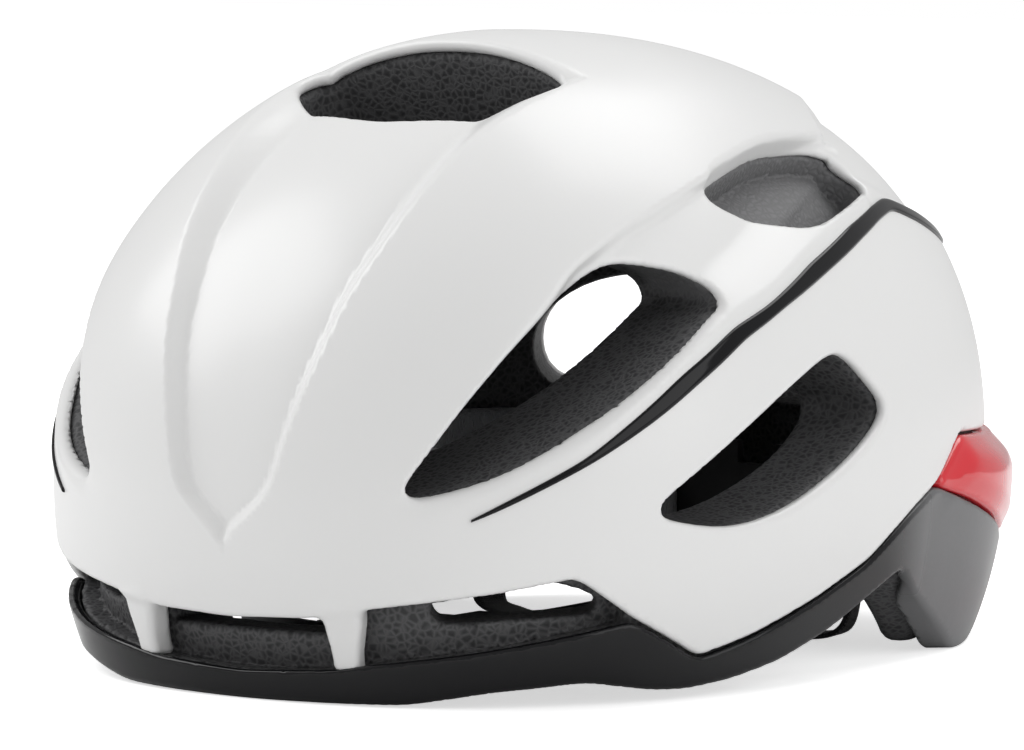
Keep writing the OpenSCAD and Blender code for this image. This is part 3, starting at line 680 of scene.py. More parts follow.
class PatternGroups:
    """The shared node groups, each with a Tone and a Height output between 0 and 1."""

    def __init__(self) -> None:
        """Builds one group for each pattern."""
        self.groups = {pattern: self._build(pattern) for pattern in Pattern}

    def _build(self, pattern: Pattern) -> bpy.types.NodeTree:
        """Works out the node group of a pattern.

        Args:
            pattern: The pattern.

        Returns:
            The node group of a pattern.
        """
        tree = bpy.data.node_groups.new(f"surface_{pattern.value}", "ShaderNodeTree")
        tree.interface.new_socket("Vector", in_out="INPUT", socket_type="NodeSocketVector")
        tree.interface.new_socket("Scale", in_out="INPUT", socket_type="NodeSocketFloat")
        tree.interface.new_socket("Tone", in_out="OUTPUT", socket_type="NodeSocketFloat")
        tree.interface.new_socket("Height", in_out="OUTPUT", socket_type="NodeSocketFloat")
        start = tree.nodes.new("NodeGroupInput")
        end = tree.nodes.new("NodeGroupOutput")
        tone, height = getattr(self, f"_{pattern.value}")(tree, start)
        tree.links.new(tone, end.inputs["Tone"])
        tree.links.new(height, end.inputs["Height"])
        return tree

    @staticmethod
    def _texture(tree: bpy.types.NodeTree, start: bpy.types.Node, kind: str) -> bpy.types.Node:
        """Works out a texture node fed with the group's vector and scale.

        Args:
            tree: The node tree to build in.
            start: The group's input node.
            kind: Type name of the texture node.

        Returns:
            A texture node fed with the group's vector and scale.
        """
        node = tree.nodes.new(kind)
        tree.links.new(start.outputs["Vector"], node.inputs["Vector"])
        tree.links.new(start.outputs["Scale"], node.inputs["Scale"])
        return node

    def _grain(self, tree: bpy.types.NodeTree, start: bpy.types.Node) -> Sockets:
        """Works out the sockets of a fine moulded grain.

        Args:
            tree: The node tree to build in.
            start: The group's input node.

        Returns:
            The sockets of a fine moulded grain.
        """
        noise = self._texture(tree, start, "ShaderNodeTexNoise")
        noise.inputs["Detail"].default_value = 4.0
        return noise.outputs["Fac"], noise.outputs["Fac"]

    def _beads(self, tree: bpy.types.NodeTree, start: bpy.types.Node) -> Sockets:
        """Works out the sockets of foam beads fused side by side.

        Args:
            tree: The node tree to build in.
            start: The group's input node.

        Returns:
            The sockets of foam beads fused side by side.
        """
        edge = self._texture(tree, start, "ShaderNodeTexVoronoi")
        edge.feature = "DISTANCE_TO_EDGE"
        ramp = tree.nodes.new("ShaderNodeMapRange")
        ramp.inputs["From Max"].default_value = 0.3
        ramp.inputs["To Min"].default_value = 1.0
        ramp.inputs["To Max"].default_value = 0.0
        rise = tree.nodes.new("ShaderNodeMapRange")
        rise.inputs["From Max"].default_value = 0.35
        tree.links.new(edge.outputs["Distance"], ramp.inputs["Value"])
        tree.links.new(edge.outputs["Distance"], rise.inputs["Value"])
        return ramp.outputs["Result"], rise.outputs["Result"]

    def _waves(self, tree: bpy.types.NodeTree, start: bpy.types.Node, turn: float) -> bpy.types.NodeSocket:
        """Works out crossed bands, turned by an angle, as one value.

        Args:
            tree: The node tree to build in.
            start: The group's input node.
            turn: Angle that the bands are turned by, in radians.

        Returns:
            Crossed bands, turned by an angle, as one value.
        """
        mapping = tree.nodes.new("ShaderNodeMapping")
        mapping.inputs["Rotation"].default_value = (0.0, 0.0, turn)
        tree.links.new(start.outputs["Vector"], mapping.inputs["Vector"])
        both = tree.nodes.new("ShaderNodeMath")
        both.operation = "MULTIPLY"
        for index, way in enumerate(("X", "Y")):
            wave = tree.nodes.new("ShaderNodeTexWave")
            wave.bands_direction = way
            wave.inputs["Distortion"].default_value = 0.3
            tree.links.new(mapping.outputs["Vector"], wave.inputs["Vector"])
            tree.links.new(start.outputs["Scale"], wave.inputs["Scale"])
            tree.links.new(wave.outputs["Fac"], both.inputs[index])
        return both.outputs["Value"]

    def _weave(self, tree: bpy.types.NodeTree, start: bpy.types.Node) -> Sockets:
        """Works out the sockets of a plain woven tape.

        Args:
            tree: The node tree to build in.
            start: The group's input node.

        Returns:
            The sockets of a plain woven tape.
        """
        value = self._waves(tree, start, 0.0)
        return value, value

    def _knit(self, tree: bpy.types.NodeTree, start: bpy.types.Node) -> Sockets:
        """Works out the sockets of a brushed knit.

        Args:
            tree: The node tree to build in.
            start: The group's input node.

        Returns:
            The sockets of a brushed knit.
        """
        value = self._waves(tree, start, 0.785)
        fuzz = self._texture(tree, start, "ShaderNodeTexNoise")
        mix = tree.nodes.new("ShaderNodeMath")
        mix.operation = "ADD"
        tree.links.new(value, mix.inputs[0])
        tree.links.new(fuzz.outputs["Fac"], mix.inputs[1])
        return fuzz.outputs["Fac"], mix.outputs["Value"]

    def _brushed(self, tree: bpy.types.NodeTree, start: bpy.types.Node) -> Sockets:
        """Works out the sockets of metal brushed along one way.

        Args:
            tree: The node tree to build in.
            start: The group's input node.

        Returns:
            The sockets of metal brushed along one way.
        """
        mapping = tree.nodes.new("ShaderNodeMapping")
        mapping.inputs["Scale"].default_value = (1.0, 14.0, 1.0)
        tree.links.new(start.outputs["Vector"], mapping.inputs["Vector"])
        noise = tree.nodes.new("ShaderNodeTexNoise")
        tree.links.new(mapping.outputs["Vector"], noise.inputs["Vector"])
        tree.links.new(start.outputs["Scale"], noise.inputs["Scale"])
        return noise.outputs["Fac"], noise.outputs["Fac"]


@dataclass(frozen=True)
class Finish:
    """A material slot's finish: a base colour, how it shines, its small-scale surface, and a painted-light
    colour that some pieces take in places.
    """

    slot: str
    colour: tuple[float, float, float]
    roughness: float
    pattern: Pattern
    scale: float
    relief: float
    contrast: float = 0.1
    coat: float = 0.0
    coat_roughness: float = 0.06
    metal: float = 0.0
    sheen: float = 0.0
    specular: float = 0.5
    # Painted light: the colour and roughness that a piece goes over to where its vertex attribute is set. On
    # the lower shell this is a painted reflection, and on the foam it is painted light from above.
    painted_light: tuple[float, float, float] | None = None
    painted_light_roughness: float = 0.4
    lighter: float = 0.0
    woven: bool = False

    def material(self, groups: PatternGroups) -> bpy.types.Material:
        """Builds the material.

        Args:
            groups: The shared node groups.

        Returns:
            The material, named after the slot.
        """
        mat = bpy.data.materials.new(self.slot)
        mat.use_nodes = True
        tree = mat.node_tree
        shader = tree.nodes["Principled BSDF"]
        shader.inputs["Metallic"].default_value = self.metal
        shader.inputs["Coat Weight"].default_value = self.coat
        shader.inputs["Coat Roughness"].default_value = self.coat_roughness
        shader.inputs["Sheen Weight"].default_value = self.sheen
        shader.inputs["Specular IOR Level"].default_value = self.specular
        place = tree.nodes.new("ShaderNodeTexCoord")
        surface = tree.nodes.new("ShaderNodeGroup")
        surface.node_tree = groups.groups[self.pattern]
        surface.inputs["Scale"].default_value = self.scale
        tree.links.new(place.outputs["UV" if self.woven else "Object"], surface.inputs["Vector"])
        base, rough = self._base(tree)
        tint = tree.nodes.new("ShaderNodeMix")
        tint.data_type = "RGBA"
        tint.inputs["B"].default_value = (*self.second(), 1.0)
        amount = tree.nodes.new("ShaderNodeMath")
        amount.operation = "MULTIPLY"
        amount.inputs[1].default_value = self.contrast
        tree.links.new(surface.outputs["Tone"], amount.inputs[0])
        tree.links.new(amount.outputs["Value"], tint.inputs["Factor"])
        tree.links.new(base, tint.inputs["A"])
        tree.links.new(tint.outputs["Result"], shader.inputs["Base Color"])
        tree.links.new(rough, shader.inputs["Roughness"])
        bump = tree.nodes.new("ShaderNodeBump")
        bump.inputs["Distance"].default_value = self.relief * MM
        bump.inputs["Strength"].default_value = 0.8
        tree.links.new(surface.outputs["Height"], bump.inputs["Height"])
        tree.links.new(bump.outputs["Normal"], shader.inputs["Normal"])
        return mat

    def second(self) -> tuple[float, ...]:
        """Works out the colour that the pattern mixes in: lighter veins, or a darker grain.

        Returns:
            The colour, linear.
        """
        if self.lighter:
            return tuple(min(1.0, c * (1 + 6 * self.lighter) + self.lighter) for c in self.colour)
        return tuple(0.4 * c for c in self.colour)

    def _base(self, tree: bpy.types.NodeTree) -> Sockets:
        """Works out the base colour and roughness, which go over to the painted-light colour and roughness
        where that is set.

        Args:
            tree: The node tree to build in.

        Returns:
            The base colour and roughness, which go over to the painted-light colour and roughness where that
            is set.
        """
        # Reads the painted-light weight that is stored on the vertices.
        painted_light = tree.nodes.new("ShaderNodeAttribute")
        painted_light.attribute_name = "painted_light"
        mix = tree.nodes.new("ShaderNodeMix")
        mix.data_type = "RGBA"
        mix.inputs["A"].default_value = (*self.colour, 1.0)
        mix.inputs["B"].default_value = (*(self.painted_light or self.colour), 1.0)
        rough = tree.nodes.new("ShaderNodeMapRange")
        rough.inputs["To Min"].default_value = self.roughness
        rough.inputs["To Max"].default_value = self.painted_light_roughness if self.painted_light else self.roughness
        tree.links.new(painted_light.outputs["Fac"], mix.inputs["Factor"])
        tree.links.new(painted_light.outputs["Fac"], rough.inputs["Value"])
        return mix.outputs["Result"], rough.outputs["Result"]


FINISHES = (
    Finish("white_shell", (0.84, 0.84, 0.835), 0.36, Pattern.GRAIN, 900, 0.003, 0.02, coat=0.25,
           coat_roughness=0.22),
    # Black shell: its second colour is a rougher mid grey towards the rear, and it is a painted reflection.
    Finish("black_shell", (0.004, 0.004, 0.005), 0.12, Pattern.GRAIN, 700, 0.006, 0.1, coat=0.05,
           specular=0.3, painted_light=(0.2, 0.2, 0.205), painted_light_roughness=0.34),
    # Foam: its 0.22 grey second colour is painted light, where the shoulder vents' foam floor is lit from
    # above.
    Finish("foam", (0.045, 0.045, 0.047), 0.6, Pattern.BEADS, 520, 0.16, 0.6, specular=0.35,
           painted_light=(0.22, 0.22, 0.225), painted_light_roughness=0.6, lighter=0.09),
    Finish("trim_gloss", (0.003, 0.003, 0.004), 0.08, Pattern.GRAIN, 500, 0.003, 0.1, specular=0.25),
    Finish("red_insert", (0.72, 0.008, 0.02), 0.2, Pattern.GRAIN, 600, 0.006, 0.05, coat=0.7),
    Finish("pad_fabric", (0.42, 0.43, 0.45), 0.9, Pattern.KNIT, 420, 0.25, 0.35, sheen=0.4),
    Finish("hook_fabric", (0.02, 0.02, 0.02), 0.9, Pattern.KNIT, 600, 0.2, 0.3, sheen=0.2),
    Finish("band_plastic", (0.03, 0.03, 0.034), 0.42, Pattern.GRAIN, 900, 0.03, 0.2),
    Finish("dark_plastic", (0.02, 0.02, 0.022), 0.5, Pattern.GRAIN, 1400, 0.05, 0.25),
    Finish("knob_plastic", (0.03, 0.03, 0.03), 0.6, Pattern.GRAIN, 1600, 0.08, 0.3),
    Finish("gear_plastic", (0.7, 0.7, 0.67), 0.4, Pattern.GRAIN, 900, 0.02, 0.08),
    Finish("steel", (0.56, 0.57, 0.58), 0.3, Pattern.BRUSHED, 500, 0.01, 0.3, metal=1.0),
    Finish("webbing", (0.016, 0.016, 0.018), 0.8, Pattern.WEAVE, 330, 0.3, 0.4, sheen=0.25,
           lighter=0.02, woven=True),
)


@dataclass
class Workshop:
    """What every sub-assembly needs: the form, the materials, and how a piece joins the frame."""

    form: HelmetForm
    materials: dict[str, bpy.types.Material]
    slots: dict[str, str]
    bodies: dict[str, str]

    def add(self, thing: bpy.types.Object, *nodes: str) -> bpy.types.Object:
        """Gives a piece the finish of the nodes that it stands for, and joins it to their body.

        Args:
            thing: The piece.
            nodes: Names of the CAD nodes that it replaces.

        Returns:
            The piece.
        """
        name = self.slots[nodes[0]]
        thing.data.materials.clear()
        thing.data.materials.append(self.materials[name])
        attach(thing, self.bodies[nodes[0]])
        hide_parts(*nodes)
        log.info("%s stands for %s: %d faces", thing.name, ", ".join(nodes), len(thing.data.polygons))
        return thing


def set_painted_light(thing: bpy.types.Object, weight: Callable[[Array], Array]) -> None:
    """Stores where a piece goes over to its painted-light colour, as an attribute of its vertices.

    Args:
        thing: The object.
        weight: Weight of the painted light at points in millimetres, 0 to 1.
    """
    points = np.empty(len(thing.data.vertices) * 3)
    thing.data.vertices.foreach_get("co", points)
    layer = thing.data.attributes.new("painted_light", "FLOAT", "POINT")
    layer.data.foreach_set("value", weight(points.reshape(-1, 3) / MM).astype(np.float32))


# ---------------------------------------------------------------------------------------------
# Shells and foam
# ---------------------------------------------------------------------------------------------


def vent_pairs(rows: Sequence[Sequence[float]]) -> list[tuple[Sequence[float], Sequence[float]]]:
    """Splits rows of six numbers into pairs of points.

    Args:
        rows: The rows.

    Returns:
        The result.
    """
    return [(row[:3], row[3:]) for row in rows]


@dataclass
class Vents:
    """The vents through the white shell, on the wearer's left and across the middle."""

    side: Vent = field(default_factory=lambda: Vent(vent_pairs((
        (52, -131, 54, 52, -131, 56), (63, -123, 57.5, 60, -124.5, 69), (72, -115, 62.5, 64, -117, 79),
        (79, -105, 69, 70, -105, 90.5), (85, -93, 76.5, 74, -92, 100.5), (89, -77, 86.5, 77, -80, 106.3),
        (90, -62, 95.5, 82, -70, 105.2), (89.5, -54.5, 99.2, 86, -60, 103))), (-0.94, 0.34, 0.0)))
    ear: Vent = field(default_factory=lambda: Vent(vent_pairs((
        (94, -82, 48, 94, -82, 49.5), (98, -67, 45.2, 97, -71, 56.5), (100, -55, 45.5, 99, -54, 66),
        (102, -40, 48.5, 100, -36, 74.5), (103, -25, 53.5, 100, -17, 81.5), (103, -12, 58.5, 100, -10, 80.5),
        (102, 0, 64.5, 101, -1, 73.5), (101.6, 4.5, 68, 101.6, 4, 69.5))), (-1.0, 0.0, 0.0), 43.0))
    shoulder: Vent = field(default_factory=lambda: Vent(vent_pairs((
        (77, -33, 126.8, 75, -33, 129), (83, -18, 120.5, 73, -18, 132), (86, -6, 116.5, 71, -5, 134),
        (84, 12, 121, 70, 12, 135.2), (79, 30, 124.5, 70, 28, 133.6), (77, 34.5, 126, 73, 34.5, 129))),
        (-0.55, 0.1, -0.83), 40.0))
    crown: Vent = field(default_factory=lambda: Vent(vent_pairs((
        (36, -56, 143, 36, -46, 148), (28, -64.5, 141, 28, -44.5, 152), (15, -70, 142.5, 15, -43.5, 155),
        (5, -73, 142.5, 5, -43, 156), (-5, -73, 142.5, -5, -43, 156), (-15, -70, 142.5, -15, -43.5, 155),
        (-28, -64.5, 141, -28, -44.5, 152), (-36, -56, 143, -36, -46, 148))), (0.0, 0.35, -0.94), 60.0))
    window: Vent = field(default_factory=lambda: Vent(vent_pairs((
        (54, -127, 22, 54, -127, 26.5), (65, -119, 23, 65, -119, 28.5), (74, -110, 23.5, 74, -110, 30),
        (81, -100, 24, 81, -100, 26.5))), (-0.56, 0.83, 0.0), 40.0, 1.5))
    rear: list[Vent] = field(default_factory=list)

    def add_rear(self, form: HelmetForm) -> None:
        """Adds the exhaust vents and the tail slot on the rear skin.

        Args:
            form: The helmet's form.
        """
        def skin_y(x: float, z: float) -> float:
            lift = (z - form.waist_z) / (form.top_z - form.waist_z)
            q = (1 - lift ** form.tail_n) ** (1 / form.tail_n)
            inner = max(q ** form.plan_n - (abs(x) / form.half_w) ** form.plan_n, 0.0)
            return form.mid_y + (form.rear_y - form.mid_y) * inner ** (1 / form.plan_n)

        rows = zip((26, 36, 48, 60, 69), (63, 61.5, 61.5, 62, 65), (84, 91, 92, 88, 78))
        exhaust = [(x, skin_y(x, a), a, x, skin_y(x, b), b) for x, a, b in rows]
        tail = [(x, skin_y(x, 108), 108, x, skin_y(x, 120 - abs(x) / 4), 120 - abs(x) / 4)
                for x in (-20, -8, 8, 20)]
        self.rear = [Vent(vent_pairs(exhaust), (-0.5, -0.866, 0.0), 70.0),
                     Vent(vent_pairs(tail), (0.0, -0.97, -0.24), 46.0)]

    def through(self, p: Array) -> Array:
        """Works out the distance to the vents that go through to the cavity.

        Args:
            p: Points as rows of x, y and z, in millimetres.

        Returns:
            The distance to the vents that go through to the cavity.
        """
        cut = np.minimum(self.side.distance(p), self.ear.distance(p))
        cut = np.minimum(cut, self.crown.distance(p))
        for vent in self.rear:
            cut = np.where(p[:, 1] > 40.0, np.minimum(cut, vent.distance(p)), cut)
        return cut


@dataclass
class Shells:
    """The white shell, the foam under it, the black lower shell and the red insert."""

    shop: Workshop
    relief: ShellRelief
    cavity: Cavity
    vents: Vents
    cell: float = 1.25
    quick_cell: float = 2.2
    strut_angle: float = 15.0
    skin_t: float = 3.4

    def __post_init__(self) -> None:
        """Places the struts, whose middle lies a little inside the skin."""
        form = self.shop.form
        self.strut_z = np.linspace(4.0, 32.0, 15)
        self.strut_at = np.array([form.skin(self.strut_angle, z, -4.5) for z in self.strut_z])
        out = form.normal(self.strut_at[7:8])[0]
        self.strut_out = np.array([out[0], out[1], 0.0]) / math.hypot(out[0], out[1])
        self.strut_along = np.array([-self.strut_out[1], self.strut_out[0], 0.0])

    def surface(self, p: Array) -> Array:
        """Works out the distance to the white shell's outside.

        Args:
            p: Points as rows of x, y and z, in millimetres.

        Returns:
            The distance to the white shell's outside.
        """
        return self.shop.form.distance(p) - self.relief.height(p)

    def above(self, p: Array, curve: AngleCurve) -> Array:
        """Works out how far points lie above a curve round the helmet, square to it.

        Args:
            p: Points as rows of x, y and z, in millimetres.
            curve: The curve.

        Returns:
            How far points lie above a curve round the helmet, square to it.
        """
        run = np.hypot(p[:, 0], p[:, 1] - self.shop.form.mid_y)
        angle = self.shop.form.angle(p)
        return (p[:, 2] - curve.at(angle)) / curve.steepness(angle, run)

    def strut(self, p: Array) -> Array:
        """Works out the distance to the two struts that join the brow to the rim.

        Args:
            p: Points as rows of x, y and z, in millimetres.

        Returns:
            The distance to the two struts that join the brow to the rim.
        """
        centre = np.stack([np.interp(p[:, 2], self.strut_z, self.strut_at[:, i]) for i in (0, 1)], 1)
        off = np.stack([np.abs(p[:, 0]), p[:, 1]], 1) - centre
        half = 3.4 + 1.7 * smooth01((p[:, 2] - 11.0) / 12.0)
        across = np.abs(off @ self.strut_along[:2]) - half + 2.0
        deep = np.abs(off @ self.strut_out[:2]) - 1.5
        tall = np.abs(p[:, 2] - 17.0) - 6.6
        box = np.sqrt(np.maximum(across, 0) ** 2 + np.maximum(deep, 0) ** 2 + np.maximum(tall, 0) ** 2)
        return box + np.minimum(np.maximum(np.maximum(across, deep), tall), 0.0) - 2.0

    def white(self, p: Array) -> Array:
        """Works out the field of the white shell.

        Args:
            p: Points as rows of x, y and z, in millimetres.

        Returns:
            The field of the white shell.
        """
        surface = self.surface(p)
        cut = np.minimum(self.vents.through(p), self.vents.shoulder.distance(p))
        body = round_max(surface, -cut, 1.8)
        body = round_max(body, -(surface + self.skin_t), 1.4)
        body = round_max(body, -self.above(p, self.shop.form.edge), 1.2)
        return round_min(body, self.strut(p), 2.5)

    def foam(self, p: Array) -> Array:
        """Works out the field of the foam.

        Args:
            p: Points as rows of x, y and z, in millimetres.

        Returns:
            The field of the foam.
        """
        form = self.shop.form
        surface = self.surface(p)
        plain = form.distance(p)
        angle = form.angle(p)
        wall = round_max(surface + self.skin_t - 0.2, -self.cavity.distance(p), 1.5)
        wall = round_max(wall, -(self.vents.through(p) - 0.4), 2.5)
        floor = np.maximum(self.vents.shoulder.distance(p) - 0.4, -(surface + 12.0))
        wall = round_max(wall, -floor, 1.5)
        wall = round_max(wall, -(self.above(p, form.rim_low) - 2.0), 4.0)
        brow = np.maximum(-(plain + 9.0), angle - 50.0)
        brow = np.maximum(brow, form.rim_top.at(angle) - 0.3 - p[:, 2])
        brow = np.maximum(brow, p[:, 2] - form.edge.at(angle) - 3.0)
        wall = round_max(wall, -brow, 1.0)
        middle = np.maximum(np.abs(p[:, 0]) - 26.0, np.abs(p[:, 2] - 23.0) - 5.5)
        middle = np.maximum(middle, p[:, 1] + 70.0)
        wall = round_max(wall, -middle, 2.0)
        wall = round_max(wall, -self.vents.window.distance(p), 1.2)
        return np.where(self.above(p, form.edge) < 0.4, np.maximum(wall, plain + self.skin_t), wall)

    def lower(self, p: Array) -> Array:
        """Works out the field of the lower shell.

        Args:
            p: Points as rows of x, y and z, in millimetres.

        Returns:
            The field of the lower shell.
        """
        form = self.shop.form
        angle = form.angle(p)
        out = form.distance(p) - form.flare_at(angle, p[:, 2])
        thick = 3.0 + 4.5 * smooth01((angle - 114.0) / 8.0) * smooth01((156.0 - angle) / 10.0)
        wall = round_max(out, -(out + thick), 1.2)
        wall = round_max(wall, self.above(p, form.rim_top), 1.4)
        return round_max(wall, -self.above(p, form.rim_low), 1.3)

    def insert(self, p: Array) -> Array:
        """Works out the field of the red insert.

        Args:
            p: Points as rows of x, y and z, in millimetres.

        Returns:
            The field of the red insert.
        """
        form = self.shop.form
        angle = form.angle(p)
        low, top = self.above(p, form.insert_low), -(self.above(p, form.edge) + 0.8)
        bulge = 1.6 * smooth01(np.minimum(low, top) / 7.0)
        out = form.distance(p) - form.flare_at(angle, p[:, 2]) - bulge
        wall = round_max(out, -(out + 5.0), 1.0)
        wall = round_max(wall, -low, 1.2)
        wall = round_max(wall, -top, 1.2)
        return round_max(wall, (121.0 - angle) * 1.9, 1.2)

    def build(self) -> None:
        """Builds the four pieces."""
        form = self.shop.form
        fine = self.cell
        low, high = (0.0, form.front_y - 8.0, -3.0), (form.half_w + 9.0, form.rear_y + 9.0, 168.0)

        def skin_zone(p: Array) -> Array:
            return np.maximum(np.abs(form.distance(p) + 5.5) - 7.5, -1.0)

        def foam_zone(p: Array) -> Array:
            return np.maximum(np.maximum(form.distance(p), -self.cavity.distance(p) - 1.0), -1.0)

        def low_zone(p: Array) -> Array:
            return np.maximum(np.abs(form.distance(p)) - 9.0, -1.0)

        shell = FieldMesher(low, high, fine).build("white_shell_form", self.white, skin_zone)
        self.shop.add(shell, "outer_shell")
        foam = FieldMesher(low, high, fine * 1.3).build("foam_form", self.foam, foam_zone)
        # Painted light: high on the sides, where the shoulder vents show their foam floor, the foam goes over
        # to a lighter grey as if lit from above.
        set_painted_light(foam, lambda p: smooth01((p[:, 2] - 96) / 8) * smooth01((np.abs(p[:, 0]) - 58) / 6))
        self.shop.add(foam, "foam_liner")
        rim = (form.half_w + 9.0, form.rear_y + 9.0, 62.0)
        lower = FieldMesher(low, rim, fine * 0.9).build("lower_shell_form", self.lower, low_zone)
        # Painted reflection: the gloss black lower shell goes over to a rougher mid grey towards the rear
        # hooks, standing in for the studio's reflection there.
        set_painted_light(lower, lambda p: smooth01((form.angle(p) - 104) / 20) * 0.9)
        self.shop.add(lower, "lower_shell")
        rear = (0.0, 20.0, 20.0)
        insert = FieldMesher(rear, rim, fine * 0.9).build("rear_insert_form", self.insert, low_zone)
        self.shop.add(insert, "rear_insert")


@dataclass
class Stripes:
    """The two glossy strips that sweep up the sides and round to the rear."""

    shop: Workshop
    relief: ShellRelief
    low: Sequence[tuple[float, float]] = (
        (30, 46.4), (34, 50), (45, 61), (54, 71), (61, 79), (71, 89), (82, 96), (97, 104), (111, 111),
        (120, 115), (127, 117), (135, 113), (147, 105.5))
    steps: int = 220
    across: int = 14

    def build(self) -> None:
        """Builds both strips."""
        curve = AngleCurve([(0, 30), *self.low, (180, 90)], 1.5)
        angles = np.linspace(30.5, 146.8, self.steps)
        rows = []
        for angle in angles:
            a, b = float(curve.at(angle)), float(self.relief.stripe_top.at(angle))
            b = max(b, a + 0.5)
            row = [self.shop.form.skin(angle, a, -0.7)]
            for t in np.linspace(0.0, 1.0, self.across):
                out = 0.15 + 0.55 * (1.0 - abs(2.0 * t - 1.0) ** 5)
                row.append(self.shop.form.skin(angle, a + (b - a) * t, out))
            row.append(self.shop.form.skin(angle, b, -0.7))
            rows.append(row)
        grid = np.array(rows)
        for side, name in ((1.0, "left"), (-1.0, "right")):
            verts = grid.reshape(-1, 3) * np.array([side, 1.0, 1.0]) * MM
            faces = tube_faces(len(angles), grid.shape[1], side < 0)
            thing = mesh_object(f"{name}_stripe_form", verts, faces)
            self.shop.add(thing, f"{name}_stripe")


def tube_faces(rows: int, ring: int, flip: bool = False) -> list[tuple[int, ...]]:
    """Returns the faces of a tube of closed rings, with both ends capped.

    Args:
        rows: Number of rings.
        ring: Points in each ring.
        flip: True if the faces turn the other way.
    """
    faces: list[tuple[int, ...]] = []
    for i in range(rows - 1):
        for j in range(ring):
            k = (j + 1) % ring
            faces.append((i * ring + j, i * ring + k, (i + 1) * ring + k, (i + 1) * ring + j))
    faces.append(tuple(range(ring))[::-1])
    faces.append(tuple(range((rows - 1) * ring, rows * ring)))
    return [face[::-1] for face in faces] if flip else faces


# ---------------------------------------------------------------------------------------------
# Soft pieces
# ---------------------------------------------------------------------------------------------


@dataclass(frozen=True)
class PadPlan:
    """A pad on the cavity wall: the span of angles and heights that it covers, in degrees and mm."""

    node: str
    angles: tuple[float, float]
    heights: tuple[float, float]
    channels: tuple[float, ...] = (0.0,)


